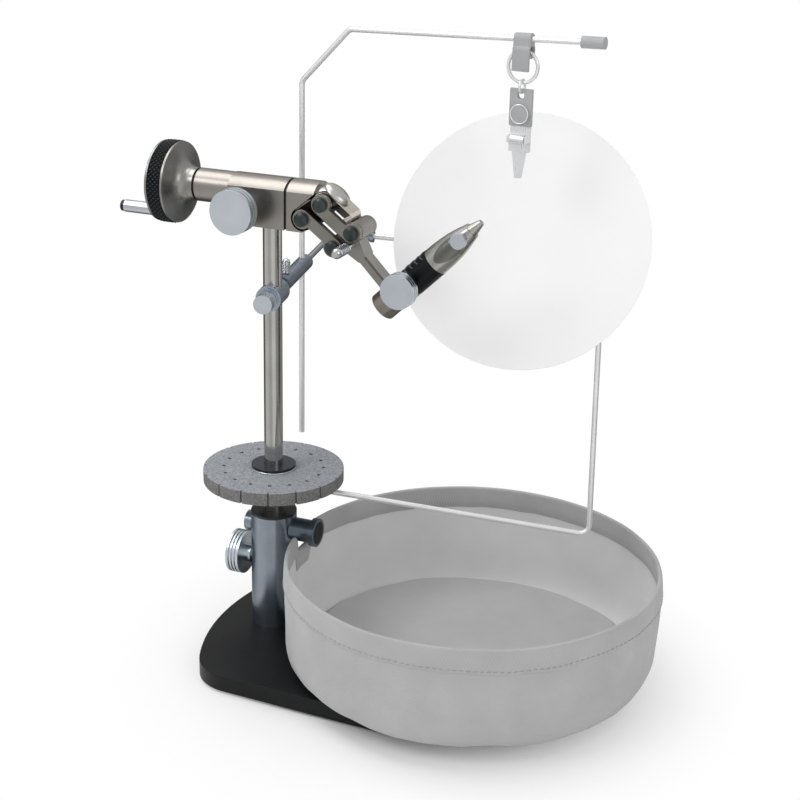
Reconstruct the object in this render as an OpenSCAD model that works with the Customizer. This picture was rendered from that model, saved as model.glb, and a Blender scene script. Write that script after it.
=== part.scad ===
// Fly tying vise on a weighted base, with material clip, background plate and waste bin.
// Millimetres, +Z up. The origin is on the table, on the axis of the stem.
// +X runs along the rotary axis towards the jaws, and -Y is the tyer's side.

/* [Base] */
// Thickness of the steel base plate
base_t = 8.8; // [6:0.2:12]
// Thickness of the rubber pad under the plate
pad_t = 1.2; // [0.8:0.2:2]
// How far the pad stays inside the plate's edge
pad_inset = 3; // [1:0.5:6]
// Distance of the rear edge behind the stem
rear_x0 = 29.2; // [27:0.1:31]
// Radius of the rear edge's long arc
rear_r = 135; // [125:1:145]
// Direction from that arc's centre to a rear corner, in degrees
corner_turn = 155.6; // [154:0.1:157]
// Radius of each rear corner
corner_r = 25; // [22:0.5:28]
// Centre of the wide middle arc
wide_x = 100; // [90:1:110]
// Radius of the wide middle arc
wide_r = 73.5; // [68:0.5:78]
// Centre of the front end's arc
end_x = 160; // [150:1:170]
// Radius of the front end's arc
end_r = 38; // [32:1:44]
// Radius of the bolt that holds the post down
bolt_r = 4; // [3:0.5:5]
// Radius of the bolt's head
bolt_head_r = 6.5; // [6:0.5:8]
// Height of the bolt's head
bolt_head_t = 4; // [3:0.5:5]

/* [Socket post] */
// Outer radius of the post
post_r = 12.5; // [12:0.5:14]
// Height of the post above the base plate
post_h = 65.5; // [60:0.5:72]
// Outer radius of the turning sleeve in the post
sleeve_r = 8; // [7:0.25:8.5]
// Length of the sleeve below its flange
sleeve_len = 40; // [36:1:44]
// Thickness of the sleeve's flange
sleeve_flange_t = 1.5; // [1:0.25:2.5]
// Height of the clamp knob's axis above the table
clamp_z = 47.6; // [46:0.2:50]
// Height of the bin stud's axis above the table
stud_z = 67.5; // [66:0.25:68]
// Radius of the bin stud
stud_r = 6.3; // [5.5:0.1:6.8]
// Distance from the stem axis to the stud's flange
stud_flange_x = 23.5; // [22:0.5:25]
// Radius of the stud's flange
stud_flange_r = 7.8; // [7:0.1:8.2]
// Thickness of the stud's flange
stud_flange_t = 3.2; // [2.4:0.2:4]
// Radius of the stud's threaded root in the post
stud_root_r = 3; // [2.5:0.25:4]

/* [Knobs] */
// Radius of the two large clamping knobs
knob_r = 12; // [10:0.25:13]
// Thickness of a large knob
knob_t = 7.5; // [6:0.5:9]
// Radius of a knob's neck
knob_neck_r = 5; // [4:0.25:6]
// Length of the neck between a knob and what it clamps
knob_neck_len = 4; // [3:0.25:5]
// Radius of a clamping screw
screw_r = 3; // [2.5:0.25:3.5]
// Width of each groove round a knob
groove_w = 0.8; // [0.5:0.1:1.2]
// Depth of each groove round a knob
groove_d = 0.7; // [0.4:0.1:1.2]

/* [Stem] */
// Radius of the polished stem
stem_r = 5; // [4.5:0.1:5.5]
// Height of the stem's lower end above the table
stem_z0 = 36; // [35.8:0.1:38]
// Wall left between the stem and the rotor's shaft
stem_socket_wall = 2.4; // [2:0.1:3]
// Height of the rotary axis above the table
axis_z = 253.3; // [245:0.5:262]

/* [Tool disc] */
// Radius of the foam disc
foam_r = 38; // [34:0.5:42]
// Thickness of the foam disc
foam_t = 7; // [6:0.5:9]
// Height of the foam's underside above the table
foam_z = 95; // [94:0.25:98]
// Number of tool holes, and of slits in the rim
tool_count = 16; // [8:1:20]
// Radius of the circle that the tool holes lie on
tool_ring_r = 27; // [24:0.5:30]
// Radius of a tool hole
tool_hole_r = 1; // [0.8:0.1:1.5]
// Width of a slit in the rim
slit_w = 0.9; // [0.6:0.1:1.4]
// Length of a slit from the rim inwards
slit_len = 6; // [4:0.5:8]
// Radius of the hub's flange on the foam
hub_flange_r = 12; // [10:0.5:14]
// Thickness of the hub's flange
hub_flange_t = 2.2; // [1.6:0.2:3]
// Thickness of the washer under the foam
washer_t = 3.6; // [3:0.1:4]
// Height of the collar that carries the disc
collar_h = 5.6; // [5:0.1:6.4]
// Radius of that collar
collar_r = 8; // [7.5:0.1:8.5]
// Radius of a grub screw
grub_r = 1.5; // [1.2:0.1:1.8]
// Radius of the hub's barrel through the foam
hub_barrel_r = 7; // [6.5:0.25:8]
// Angle of the first hole and slit
tool_phase = -68; // [-90:1:-45]

/* [Head] */
// Half width of the head
head_r = 10; // [9:0.25:11]
// Radius of the crowned top
crown_r = 12.5; // [11.5:0.1:14]
// Height of the crowned top above the rotary axis
head_crown = 8.9; // [8.8:0.1:9.2]
// Distance from the rotary axis down to the flat underside
head_drop = 16.3; // [15:0.1:17]
// Rear end of the square part of the head
head_x0 = -20.5; // [-22:0.5:-19]
// Front end of the head
head_x1 = 11.4; // [10:0.2:12]
// Radius of the round neck behind the head
neck_r = 8.7; // [8.5:0.1:8.8]
// Rear end of the neck
neck_x0 = -41; // [-43:0.5:-39]
// Radius of the rotor's shaft
shaft_r = 5; // [4.5:0.1:5.4]
// Length of the shaft's seat in the rotor block
shaft_seat_len = 7; // [6:0.5:8]
// Outer radius of the shaft's bushes
bush_r = 7; // [6.6:0.1:7.2]
// Length of each bush
bush_len = 8; // [6:0.5:9]
// Distance of the tension knob's axis behind the stem axis
tension_x = 10; // [9:0.5:11]
// Radius of the tension knob
tension_knob_r = 11.6; // [10:0.1:12.4]
// Distance of the tension knob's axis below the rotary axis
tension_drop = 5.9; // [5:0.1:6.4]
// Length of the tension knob's neck
tension_neck_len = 9.5; // [8:0.5:11]

/* [Rotor] */
// Thickness of the black washer in front of the head
front_washer_t = 1.4; // [1:0.1:2]
// Thickness of the black washer behind the neck
rear_washer_t = 3; // [2:0.25:4]
// Radius of the domed nose
nose_r = 9.35; // [9:0.05:9.6]
// Distance from the stem axis to the tip of the nose
nose_x1 = 40.7; // [39.6:0.1:41.4]
// Distance of the nose's centre below the rotary axis
nose_drop = 2.7; // [2:0.1:3.4]
// Distance from the stem axis to the upper head pin
head_pin_x = 31.9; // [31:0.25:34]
// Height of the upper head pin above the rotary axis
head_pin_rise = -0.9; // [-1.4:0.1:0.4]
// Distance between the two pins of a pair
pin_pitch = 13.3; // [12.8:0.1:14.4]
// Direction from the upper pin to the lower pin, in degrees
pin_line_tilt = -140.3; // [-142:0.1:-138]
// Radius of a pin
pin_r = 2; // [1.6:0.1:2.2]
// Radius of a pin's domed cap
cap_r = 3.6; // [3.2:0.1:3.9]
// Thickness of a pin's domed cap
cap_t = 2.7; // [2:0.1:3]
// Clearance round the links in the rotor block
cut_gap = 1.2; // [0.8:0.1:1.4]
// Clearance between the nose and the leaf spring
nose_gap = 0.4; // [0.3:0.1:1]
// Share of the way to the upper pin that the tongue's root reaches
root_share = 0.45; // [0.4:0.01:0.5]

/* [Hand wheel] */
// Radius of the hand wheel
wheel_r = 21.5; // [19:0.5:23]
// Front face of the wheel
wheel_x1 = -52.7; // [-55:0.1:-52]
// Width of the wheel's rim
wheel_w = 10.2; // [9:0.2:12]
// Width of the knurled band on the rim
band_w = 7.8; // [7:0.2:8.6]
// Radial thickness of the knurled band
band_t = 1.4; // [1:0.1:2]
// Radius of the wheel's hub where it meets the washer
wheel_hub_r = 8.5; // [8:0.1:9]
// Height of the flare between the wheel and its hub
hub_flare = 2.2; // [1.6:0.2:3]
// Thickness of the wheel left behind the shaft
wheel_web_t = 2; // [1.5:0.1:3]
// Radius of the crank handle
crank_r = 3.25; // [3:0.05:3.6]
// Radius of the pin in the crank handle
crank_pin_r = 1.8; // [1.5:0.1:2]
// Length of the crank handle
crank_len = 16.5; // [14:0.5:20]
// Distance of the crank handle from the rotary axis
crank_offset = 17.4; // [16:0.1:17.8]
// Direction of the crank handle round the wheel, in degrees
crank_turn = 229; // [200:1:250]

/* [Linkage] */
// Distance between the pins of a link
link_len = 21.25; // [20:0.05:23]
// Direction of the links, in degrees
link_tilt = -36.6; // [-38:0.2:-35]
// Radius of a link's eye
link_eye_r = 5; // [4.6:0.1:5.3]
// Height of a link's body above the line of its pins
link_rise = 1.2; // [0.8:0.1:2]
// Thickness of a link
link_t = 3.2; // [2.6:0.1:3.6]
// Half width of the space between the two links of a pair
link_gap = 7.3; // [7.2:0.1:7.8]
// Thickness of the leaf spring
leaf_t = 0.5; // [0.4:0.05:0.7]
// Width of the leaf spring
leaf_w = 12; // [10:0.5:12.4]
// Outer radius of the leaf spring's curl
curl_r = 3.2; // [2.8:0.1:3.4]
// Angle that the curl turns through, in degrees
curl_wrap = 200; // [180:5:240]
// Angle that the spring wraps the upper barrel, in degrees
leaf_wrap = 84; // [70:2:96]
// Direction from the front pin to the curl, in degrees
curl_turn = 127; // [120:1:134]
// Length of the arm from its pins to the axis of the jaws
arm_len = 38.4; // [36:0.1:41]
// Thickness of the arm's bar
arm_t = 5; // [4:0.2:5.6]
// Width of the arm's bar
arm_w = 10; // [9:0.2:11]
// Distance from the lower pin to the middle of the bar
arm_offset = 6.02; // [5.6:0.01:6.4]
// Width of the bevel along the bar's edges
arm_bevel = 1; // [0.5:0.1:1.4]
// Length of the web between the barrels and the bar
web_len = 14; // [11:0.5:16]
// Radius of the arm's barrels round its pins
barrel_r = 5.1; // [4.8:0.1:5.4]
// Length of the lock screw in front of the arm
lock_len = 22.5; // [20:0.5:25]
// Radius of the lock screw's ribbed head
lock_r = 2.8; // [2.4:0.1:3]
// Radius of the lock screw's shank
lock_root_r = 1.6; // [1.3:0.1:1.8]
// Distance of the lock screw from the lower pin along the jaws
lock_s = 7.6; // [7:0.05:8]

/* [Jaws] */
// Tilt of the jaws above the horizontal, in degrees
jaw_tilt = 44.2; // [43:0.2:46]
// Radius of the jaw body
jaw_r = 7.5; // [7:0.1:8]
// Distance from the tail to the middle of the arm's bar
jaw_tail = 10.1; // [9:0.1:11]
// Length of the bare jaw body behind the grip
jaw_body_len = 22; // [21:0.5:24]
// Length of the black grip
grip_len = 17; // [15:0.5:19]
// Wall of the black grip
grip_wall = 2; // [1.5:0.1:2.4]
// Length of the tapered nose of the jaws
jaw_nose_len = 26; // [22:0.5:28]
// Length of the jaw tips
jaw_tip_len = 6.5; // [5:0.5:8]
// Radius of the jaw tips where they leave the nose
jaw_tip_r = 3.4; // [3:0.1:3.8]
// Radius at the very end of the jaw tips
jaw_point_r = 1.6; // [1.2:0.1:2]
// Radius of the cam knob
cam_r = 9; // [8:0.25:10]
// Thickness of the cam knob
cam_t = 6; // [5:0.25:7]
// Distance from the tail to the cam knob's axis
cam_s = 20.2; // [18.6:0.1:20.6]
// Radius of the cam knob's neck
cam_neck_r = 3.4; // [3:0.1:3.6]
// Radius of the cam knob's shank
cam_root_r = 2.5; // [2:0.1:2.6]
// Radius of the knob on the nose of the jaws
size_knob_r = 4; // [3.4:0.1:4.4]
// Thickness of the knob on the nose
size_knob_t = 3; // [2.4:0.1:3.6]
// Distance from the tail to that knob's axis
size_knob_s = 58.7; // [57:0.1:59.4]
// Radius of that knob's screw
size_root_r = 1.3; // [1:0.1:1.5]
// Width of the seam between the jaws
jaw_seam = 0.12; // [0.1:0.01:0.2]
// Clearance behind the moving jaw
rear_gap = 0.45; // [0.4:0.05:0.6]

/* [Accessory arm] */
// Height of the accessory arm above the table
acc_z = 199; // [190:0.5:205]
// Direction of the accessory arm, in degrees from +X
acc_turn = 100.9; // [98:0.1:104]
// Radius of the clamp that grips the stem
acc_clamp_r = 6.8; // [6.6:0.1:7.4]
// Half length of that clamp
acc_clamp_half = 9; // [8:0.25:10]
// Radius of the neck rod between clamp and tube
acc_neck_r = 3; // [2.6:0.1:3.4]
// Length of the neck rod inside the tube
acc_neck_len = 14; // [12:0.5:18]
// Distance from the stem axis to the tube
acc_tube_s0 = 18.5; // [18:0.5:20]
// Distance from the stem axis to the tube's end
acc_tube_s1 = 67.5; // [65:0.5:70]
// Radius of the tube
acc_tube_r = 4.4; // [4.2:0.1:4.8]
// Distance from the stem axis to the upright wire
acc_wire_s = 60; // [58:0.25:62]
// Radius of the arm's clamping knob
acc_knob_r = 5; // [4.5:0.1:5.6]
// Front face of that knob, in front of the stem axis
acc_knob_s = 19.6; // [18.6:0.2:21]
// Radius of that knob's screw
acc_screw_r = 2; // [1.6:0.1:2.2]
// Radius of the collar behind the knob
acc_collar_r = 5.6; // [5.2:0.1:6]
// Distance from the stem axis to the thumb screw
thumb_s = 27; // [26:0.5:29]
// Radius of the thumb screw
thumb_r = 2.2; // [2:0.1:2.6]
// Height of the thumb screw above the tube
thumb_h = 5.5; // [4:0.5:8]
// Radius of the thumb screw's root
thumb_root_r = 1.2; // [1:0.1:1.4]
// Length of the pale lock rod beyond the tube
lock_rod_len = 52; // [44:1:54]
// Radius of the lock rod
lock_rod_r = 1.7; // [1.5:0.1:1.9]

/* [Gallows] */
// Radius of the pale steel wires
wire_r = 1.5; // [1.3:0.05:1.6]
// Radius of the bends in the wires, on their centreline
bend_r = 5; // [4:0.5:7]
// Height of the upright wire's lower end
gal_z0 = 99.8; // [99:0.5:112]
// Height of the first bend
gal_z1 = 300.8; // [294:0.5:304]
// Height of the second bend
gal_z2 = 330.5; // [327:0.5:336]
// Reach of the second bend from the upright
gal_s2 = 29.2; // [26:0.5:34]
// Reach of the wire's far end from the upright
gal_s3 = 170; // [160:1:178]
// Rise of the top wire, in degrees
gal_rise = 1.9; // [1.5:0.1:2.4]
// Direction of the gallows, in degrees from +X
gal_turn = -6; // [-8:0.5:-5]
// Radius of the rubber cap on the wire's end
tip_cap_r = 3; // [2.6:0.1:3.4]
// Length of the rubber cap
tip_cap_len = 12; // [10:0.5:14]

/* [Clip] */
// Distance of the strap's tab from the top wire's far end
tab_back = 41.4; // [40:0.1:46]
// Width of the runner tab
tab_w = 9; // [8:0.25:10]
// Depth of the runner tab below the top wire
tab_drop = 15.6; // [14:0.2:17]
// Thickness of the runner tab's tongue
tab_t = 1.4; // [1:0.1:2]
// Outer radius of the key ring
ring_r = 8.9; // [8:0.1:9.5]
// Radius of the key ring's wire
ring_wire_r = 0.9; // [0.7:0.05:1]
// Outer radius of the jump ring
jump_r = 3.9; // [3.6:0.1:4.2]
// Radius of the jump ring's wire
jump_wire_r = 0.6; // [0.5:0.05:0.7]
// Width of the strap
strap_w = 12; // [11:0.25:13]
// Length of the strap
strap_len = 18.5; // [18:0.5:22]
// Thickness of the strap
strap_t = 2.2; // [2:0.1:3]
// Radius of the snap on the strap
snap_r = 4.9; // [4.4:0.1:5.2]
// Height of the snap above the strap
snap_t = 1.2; // [0.8:0.1:1.6]
// Radius of the strap's eyelet
eyelet_r = 1.9; // [1.7:0.1:2.2]
// Strap left above the eyelet
eyelet_lip = 1.2; // [1:0.1:1.5]
// Width of the clip
clip_w = 11; // [10:0.25:12]
// Length of the clip's wide part
clip_body_len = 13; // [11:0.5:15]
// Length of the clip's jaws
clip_jaw_len = 13.5; // [12:0.5:15]
// Thickness of each clip plate
clip_plate_t = 1.2; // [1:0.1:1.5]
// Space between the clip plates
clip_gap = 0.3; // [0.2:0.05:0.5]
// Radius of the clip's pin
clip_pin_r = 0.9; // [0.7:0.1:1]
// Thickness of each ear that holds the pin
clip_ear = 1.4; // [1.2:0.1:1.8]

/* [Background plate] */
// Radius of the background plate
plate_r = 68.1; // [64:0.1:70]
// Thickness of the background plate
plate_t = 1.2; // [0.8:0.1:1.4]
// Tilt of the plate, its lower edge forward, in degrees
plate_tilt = 20.7; // [16:0.1:24]
// Distance of the plate's centre from the frame's free end
plate_back = 85.5; // [81:0.5:90]
// Height of the plate's centre above the wire behind it
plate_h = 4.7; // [0:0.1:8]
// Depth of the wire behind the plate's front
back_wire_gap = 4.2; // [4:0.1:5]
// Distance of the frame's upper corner from the stem
frame_high_x = 155.8; // [152:0.2:160]
// Distance of the frame's upper corner behind the rotary axis
frame_high_y = 75; // [73:0.5:78]
// Height of the frame's upper corner above the table
frame_high_z = 219.4; // [216:0.2:222]
// Direction of the wire behind the plate, in degrees from +X
frame_turn = 11.1; // [9:0.1:12]
// Fall of the wire behind the plate towards the upper corner, in degrees
frame_fall = 1.5; // [1:0.1:2]
// Length of the wire behind the plate
frame_len = 129; // [124:0.5:131]
// Distance of the frame's lower corner from the stem
frame_low_x = 163; // [160:0.2:166]
// Distance of the frame's lower corner behind the rotary axis
frame_low_y = 55.4; // [53:0.2:58]
// Height of the frame's lower corner above the table
frame_low_z = 69.9; // [69.9:0.1:73]
// Radius of the ribbed cap on the frame's free end
frame_cap_r = 3.4; // [3:0.1:3.8]
// Length of that cap
frame_cap_len = 9; // [8:0.5:11]
// Half length of each clip on the back of the plate
clip_half = 4; // [3:0.5:6]
// Wall of each clip round the wire
clip_wall = 1.6; // [1.2:0.1:2]

/* [Bin] */
// Outer radius of the bin's fabric wall
bin_r = 98.6; // [94:0.2:98.8]
// Distance from the stem to the near side of the bin's wall
bin_near_x = 16.4; // [15.4:0.2:19.4]
// Distance of the bin's centre behind the rotary axis
bin_y = 3; // [0:0.5:4]
// Height of the bin's rim above the table
bin_top = 68; // [62:0.2:68]
// Height of the wall's lower turn
bin_turn_z = 26; // [22:0.5:32]
// Radius of the bin's bottom
bin_floor_r = 88; // [84:0.5:91]
// Thickness of the bin's fabric
bin_t = 1.5; // [1.2:0.1:2]
// Height of the hem
hem_h = 7; // [5:0.5:9]
// Thickness of the hem outside the wall
hem_t = 0.7; // [0.5:0.1:1]

/* [Fits] */
// Radial clearance of a running fit
fit = 0.05; // [0.03:0.01:0.08]
// Radial clearance of a fixed fit
seat = 0.02; // [0.01:0.01:0.04]
// Clearance between soft parts and their neighbours
soft_gap = 0.3; // [0.25:0.05:0.5]

/* [Hidden] */
$fn = 64;
// Overrun of a cut past the surface that it leaves
over = 1;
// Smallest step between a moving piece and its neighbour
slack = 0.3;
// Turn between two rods of a bent wire, in degrees
joint_turn = 18;

base_top = pad_t + base_t;
post_top = base_top + post_h;
sleeve_top = post_top + sleeve_flange_t;
sleeve_z0 = post_top - sleeve_len;
head_z0 = axis_z - head_drop;
shaft_bottom = axis_z - shaft_r;
stem_top = shaft_bottom - stem_socket_wall;

// Helpers: a round bar along one axis, a plate in the XZ plane, a placement on the jaw axis

module bar_x(x0, x1, r) {
    translate([x0, 0, 0]) rotate([0, 90, 0]) cylinder(h = x1 - x0, r = r);
}

module bar_y(y0, y1, r) {
    translate([0, y0, 0]) rotate([-90, 0, 0]) cylinder(h = y1 - y0, r = r);
}

module bar_z(z0, z1, r) {
    translate([0, 0, z0]) cylinder(h = z1 - z0, r = r);
}

module plate_xz(y0, y1) {
    translate([0, y1, 0]) rotate([90, 0, 0]) linear_extrude(y1 - y0) children();
}

module capsule(p, q, r) {
    span = norm(q - p);
    turn = atan2(q[1] - p[1], q[0] - p[0]);
    translate(p) circle(r);
    translate(q) circle(r);
    translate(p) rotate(turn) translate([0, seat - r]) square([span, 2 * (r - seat)]);
}

function polar(a) = [cos(a), sin(a)];
function unit(v) = v / norm(v);

// A wire of straight rods, where a round bend is a row of short rods with a small ball at each joint

function bend_points(pts, i, rad) =
    let (d0 = unit(pts[i] - pts[i - 1]),
        d1 = unit(pts[i + 1] - pts[i]),
        phi = acos(d0 * d1),
        steps = ceil(phi / joint_turn),
        c = pts[i] + unit(d1 - d0) * rad / cos(phi / 2),
        u = unit(pts[i] - d0 * rad * tan(phi / 2) - c))
    [for (k = [0 : steps]) c + rad * (cos(k * phi / steps) * u + sin(k * phi / steps) * d0)];

function wire_path(pts, rad) = [for (i = [0 : len(pts) - 1])
    each (i == 0 || i == len(pts) - 1) ? [pts[i]] : bend_points(pts, i, rad)];

// Turns +Z to the direction d
module along(d) {
    rotate([0, acos(d[2]), atan2(d[1], d[0])]) children();
}

module bent_wire(path, r) {
    last = len(path) - 1;
    trim = r * tan(joint_turn / 2);
    for (i = [0 : last - 1]) {
        d = unit(path[i + 1] - path[i]);
        p = i > 0 ? path[i] + trim * d : path[i];
        q = i < last - 1 ? path[i + 1] - trim * d : path[i + 1];
        translate(p) along(d) cylinder(h = norm(q - p), r = r);
    }
    for (i = [1 : last - 1])
        translate(path[i]) along(unit(path[i + 1] - path[i - 1])) sphere(r / cos(joint_turn / 2) + seat);
}

// A round knob along +Z from its neck's foot: neck, grooved rim, flat face

module knob(r, t, neck_r, neck_len, grooves) {
    difference() {
        union() {
            cylinder(h = neck_len + t / 2, r = neck_r);
            translate([0, 0, neck_len]) cylinder(h = t, r = r);
        }
        pitch = t / (grooves + 1);
        for (i = [1 : grooves])
            translate([0, 0, neck_len + i * pitch - groove_w / 2])
                difference() {
                    cylinder(h = groove_w, r = r + over);
                    translate([0, 0, -over]) cylinder(h = groove_w + 2 * over, r = r - groove_d);
                }
    }
}

// Base: the rear edge is a long arc that runs smoothly into two round corners,
// and straight tangents join the corners to the wide middle and to the front end

rear_c = [rear_r - rear_x0, 0];
corner_c = rear_c + (rear_r - corner_r - fit) * polar(corner_turn);
wide_c = [wide_x, 0];
end_c = [end_x, 0];

function tangent_turn(c1, r1, c2, r2) =
    let (d = c2 - c1) atan2(d[1], d[0]) + acos((r1 - r2) / norm(d));

function mirrored(pts) = [for (i = [len(pts) - 1 : -1 : 0]) [pts[i][0], -pts[i][1]]];

module base_slab(h, inset) {
    rc = rear_r - inset;
    cc = corner_r - inset;
    wc = wide_r - inset;
    ec = end_r - inset;
    meet = corner_c + (cc - slack) * polar(corner_turn);
    n2 = polar(tangent_turn(corner_c, cc, wide_c, wc));
    n3 = polar(tangent_turn(wide_c, wc, end_c, ec));
    side = [[-rear_x0 - over, meet[1]], meet, corner_c + cc * n2, wide_c + wc * n2];
    nose = [wide_c + wc * n3, end_c + ec * n3];
    intersection() {
        translate(rear_c) cylinder(h = h, r = rc, $fn = 256);
        union() {
            translate(wide_c) cylinder(h = h, r = wc, $fn = 128);
            translate(end_c) cylinder(h = h, r = ec, $fn = 128);
            translate(corner_c) cylinder(h = h, r = cc);
            translate([corner_c[0], -corner_c[1]]) cylinder(h = h, r = cc);
            linear_extrude(h) polygon(concat(side, mirrored(side)));
            linear_extrude(h) polygon(concat(nose, mirrored(nose)));
        }
    }
}

module base_plate() {
    color("#1b1c1f") difference() {
        translate([0, 0, pad_t]) base_slab(base_t, 0);
        bar_z(-over, base_top + over, bolt_r + seat);
        bar_z(-over, pad_t + bolt_head_t + seat, bolt_head_r + fit);
    }
}

module base_pad() {
    color("#101010") base_slab(pad_t, pad_inset);
}

bolt_reach = 2.4 * bolt_r;

module base_bolt() {
    color("#8c8f92") difference() {
        union() {
            bar_z(pad_t, pad_t + bolt_head_t, bolt_head_r);
            bar_z(pad_t, base_top + bolt_reach, bolt_r);
        }
        bar_z(pad_t - over, pad_t + bolt_head_t / 2, bolt_r / 2);
    }
}

// Socket post with its turning sleeve

plug_r = 0.9 * stud_r;
plug_t = stud_flange_t;
plug_root = post_r - sleeve_r - 4 * fit;

module socket_post() {
    color("#7f8896") difference() {
        bar_z(base_top, post_top, post_r);
        bar_z(sleeve_z0 - over, post_top + over, sleeve_r + fit);
        bar_z(base_top - over, base_top + bolt_reach + over, bolt_r + seat);
        translate([0, 0, clamp_z]) bar_x(-post_r - over, 0, screw_r + fit);
        translate([0, 0, stud_z]) bar_x(0, post_r + over, stud_root_r + seat);
        translate([0, 0, stud_z]) bar_x(-post_r - over, 0, stud_root_r + seat);
    }
}

module bin_stud() {
    color("#5d646e") difference() {
        translate([0, 0, stud_z]) {
            bar_x(sleeve_r + 4 * fit, post_r + over, stud_root_r);
            bar_x(post_r - over, stud_flange_x + over, stud_r);
            bar_x(stud_flange_x, stud_flange_x + stud_flange_t, stud_flange_r);
        }
        difference() {
            bar_z(post_top - 2 * post_r, post_top + over, post_r + seat);
            translate([0, 0, stud_z]) bar_x(0, post_r + over, stud_root_r);
        }
        translate([0, 0, stud_z])
            bar_x(stud_flange_x + stud_flange_t - groove_d / 2, stud_flange_x + stud_flange_t + over,
                stud_flange_r - 2 * groove_w);
    }
}

module post_plug() {
    color("#7f8896") difference() {
        translate([0, 0, stud_z]) {
            bar_x(-post_r - over, -post_r + plug_root, stud_root_r);
            bar_x(-post_r - plug_t, -post_r + over, plug_r);
        }
        difference() {
            bar_z(post_top - 2 * post_r, post_top + over, post_r + seat);
            translate([0, 0, stud_z]) bar_x(-post_r - over, 0, stud_root_r);
        }
    }
}

module clamp_knob() {
    color("#b9bdc2") translate([-post_r - slack, 0, clamp_z]) rotate([0, -90, 0]) {
        knob(knob_r, knob_t, knob_neck_r, knob_neck_len, 3);
        translate([0, 0, sleeve_r + 2 * fit - post_r - slack])
            cylinder(h = post_r - sleeve_r + knob_neck_len, r = screw_r);
    }
}

module socket_sleeve() {
    color("#17181a") difference() {
        union() {
            bar_z(sleeve_z0, post_top + sleeve_flange_t / 2, sleeve_r);
            bar_z(post_top, sleeve_top, post_r);
        }
        bar_z(sleeve_z0 - over, sleeve_top + over, stem_r + fit);
    }
}

module stem() {
    color("#b8b6b0") bar_z(stem_z0, stem_top, stem_r);
}

// Tool disc, with the collar and the wire eye that it rests on

eye_r = stem_r + fit + wire_r;
eye_z = foam_z - washer_t - wire_r - fit;
eye_fall = (eye_z - frame_low_z) / norm([frame_low_x, frame_low_y]);
collar_top = eye_z - wire_r - fit - eye_fall * (collar_r + wire_r);
grub_len = collar_r - stem_r - seat;

module support_collar() {
    color("#2a2b2d") difference() {
        bar_z(collar_top - collar_h, collar_top, collar_r);
        bar_z(collar_top - collar_h - over, collar_top + over, stem_r + seat);
        translate([0, 0, collar_top - collar_h / 2]) bar_y(-collar_r - over, 0, grub_r + seat);
    }
}

module grub_screw() {
    difference() {
        cylinder(h = grub_len, r = grub_r);
        translate([0, 0, grub_len - grub_r]) cylinder(h = grub_r + over, r = grub_r / 2, $fn = 6);
    }
}

head_grub_z = head_z0 + (stem_top - head_z0) / 2;

module grub_screws() {
    color("#26272a") {
        translate([0, -stem_r - seat, collar_top - collar_h / 2]) rotate([90, 0, 0]) grub_screw();
        translate([0, stem_r + seat, head_grub_z]) rotate([-90, 0, 0]) grub_screw();
    }
}

module tool_foam() {
    color("#8b8c8e") difference() {
        bar_z(foam_z, foam_z + foam_t, foam_r);
        bar_z(foam_z - over, foam_z + foam_t + over, hub_barrel_r + fit);
        for (i = [0 : tool_count - 1]) rotate(tool_phase + i * 360 / tool_count) {
            translate([tool_ring_r, 0, 0])
                bar_z(foam_z - over, foam_z + foam_t + over, tool_hole_r);
            translate([foam_r - slit_len, -slit_w / 2, foam_z - over])
                cube([slit_len + over, slit_w, foam_t + 2 * over]);
        }
    }
}

module disc_hub() {
    color("#3a3c40") difference() {
        union() {
            bar_z(foam_z, foam_z + foam_t + hub_flange_t / 2, hub_barrel_r);
            bar_z(foam_z + foam_t, foam_z + foam_t + hub_flange_t, hub_flange_r);
        }
        bar_z(foam_z - over, foam_z + foam_t + hub_flange_t + over, stem_r + fit);
    }
}

module disc_washer() {
    color("#3a3c40") difference() {
        bar_z(foam_z - washer_t, foam_z, hub_flange_r);
        bar_z(foam_z - washer_t - over, foam_z + over, stem_r + fit);
    }
}

// Head

crown_foot = head_crown - crown_r + sqrt(pow(crown_r, 2) - pow(head_r, 2));

module head_profile(inset) {
    half = head_r - inset;
    intersection() {
        translate([0, head_crown - crown_r]) circle(crown_r - inset);
        translate([-half, head_crown - crown_r]) square([2 * half, crown_r]);
    }
    translate([-half, inset - head_drop]) square([2 * half, head_drop + crown_foot - 2 * inset]);
}

module head_bar(x0, x1, inset) {
    translate([x0, 0, axis_z]) rotate([90, 0, 90]) linear_extrude(x1 - x0) head_profile(inset);
}

tension_hole_r = screw_r + fit;
pad_depth = 0.6 * head_r;

module head_housing() {
    color("#a49f97") difference() {
        union() {
            head_bar(head_x0, head_x1, 0);
            translate([0, 0, axis_z]) bar_x(neck_x0, head_x0 + over, neck_r);
        }
        translate([0, 0, axis_z]) {
            bar_x(neck_x0 - over, head_x1 + over, shaft_r + 4 * fit);
            bar_x(neck_x0 - over, neck_x0 + bush_len, bush_r + seat);
            bar_x(head_x1 - bush_len, head_x1 + over, bush_r + seat);
        }
        bar_z(head_z0 - over, stem_top + fit, stem_r + seat);
        translate([0, 0, head_grub_z]) bar_y(0, head_r + over, grub_r + seat);
        translate([-tension_x, 0, axis_z - tension_drop]) bar_y(-head_r - over, 0, tension_hole_r);
    }
}

module shaft_bushes() {
    color("#b08d4f") translate([0, 0, axis_z]) for (x0 = [neck_x0, head_x1 - bush_len])
        difference() {
            bar_x(x0, x0 + bush_len, bush_r);
            bar_x(x0 - over, x0 + bush_len + over, shaft_r + fit);
        }
}

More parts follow.
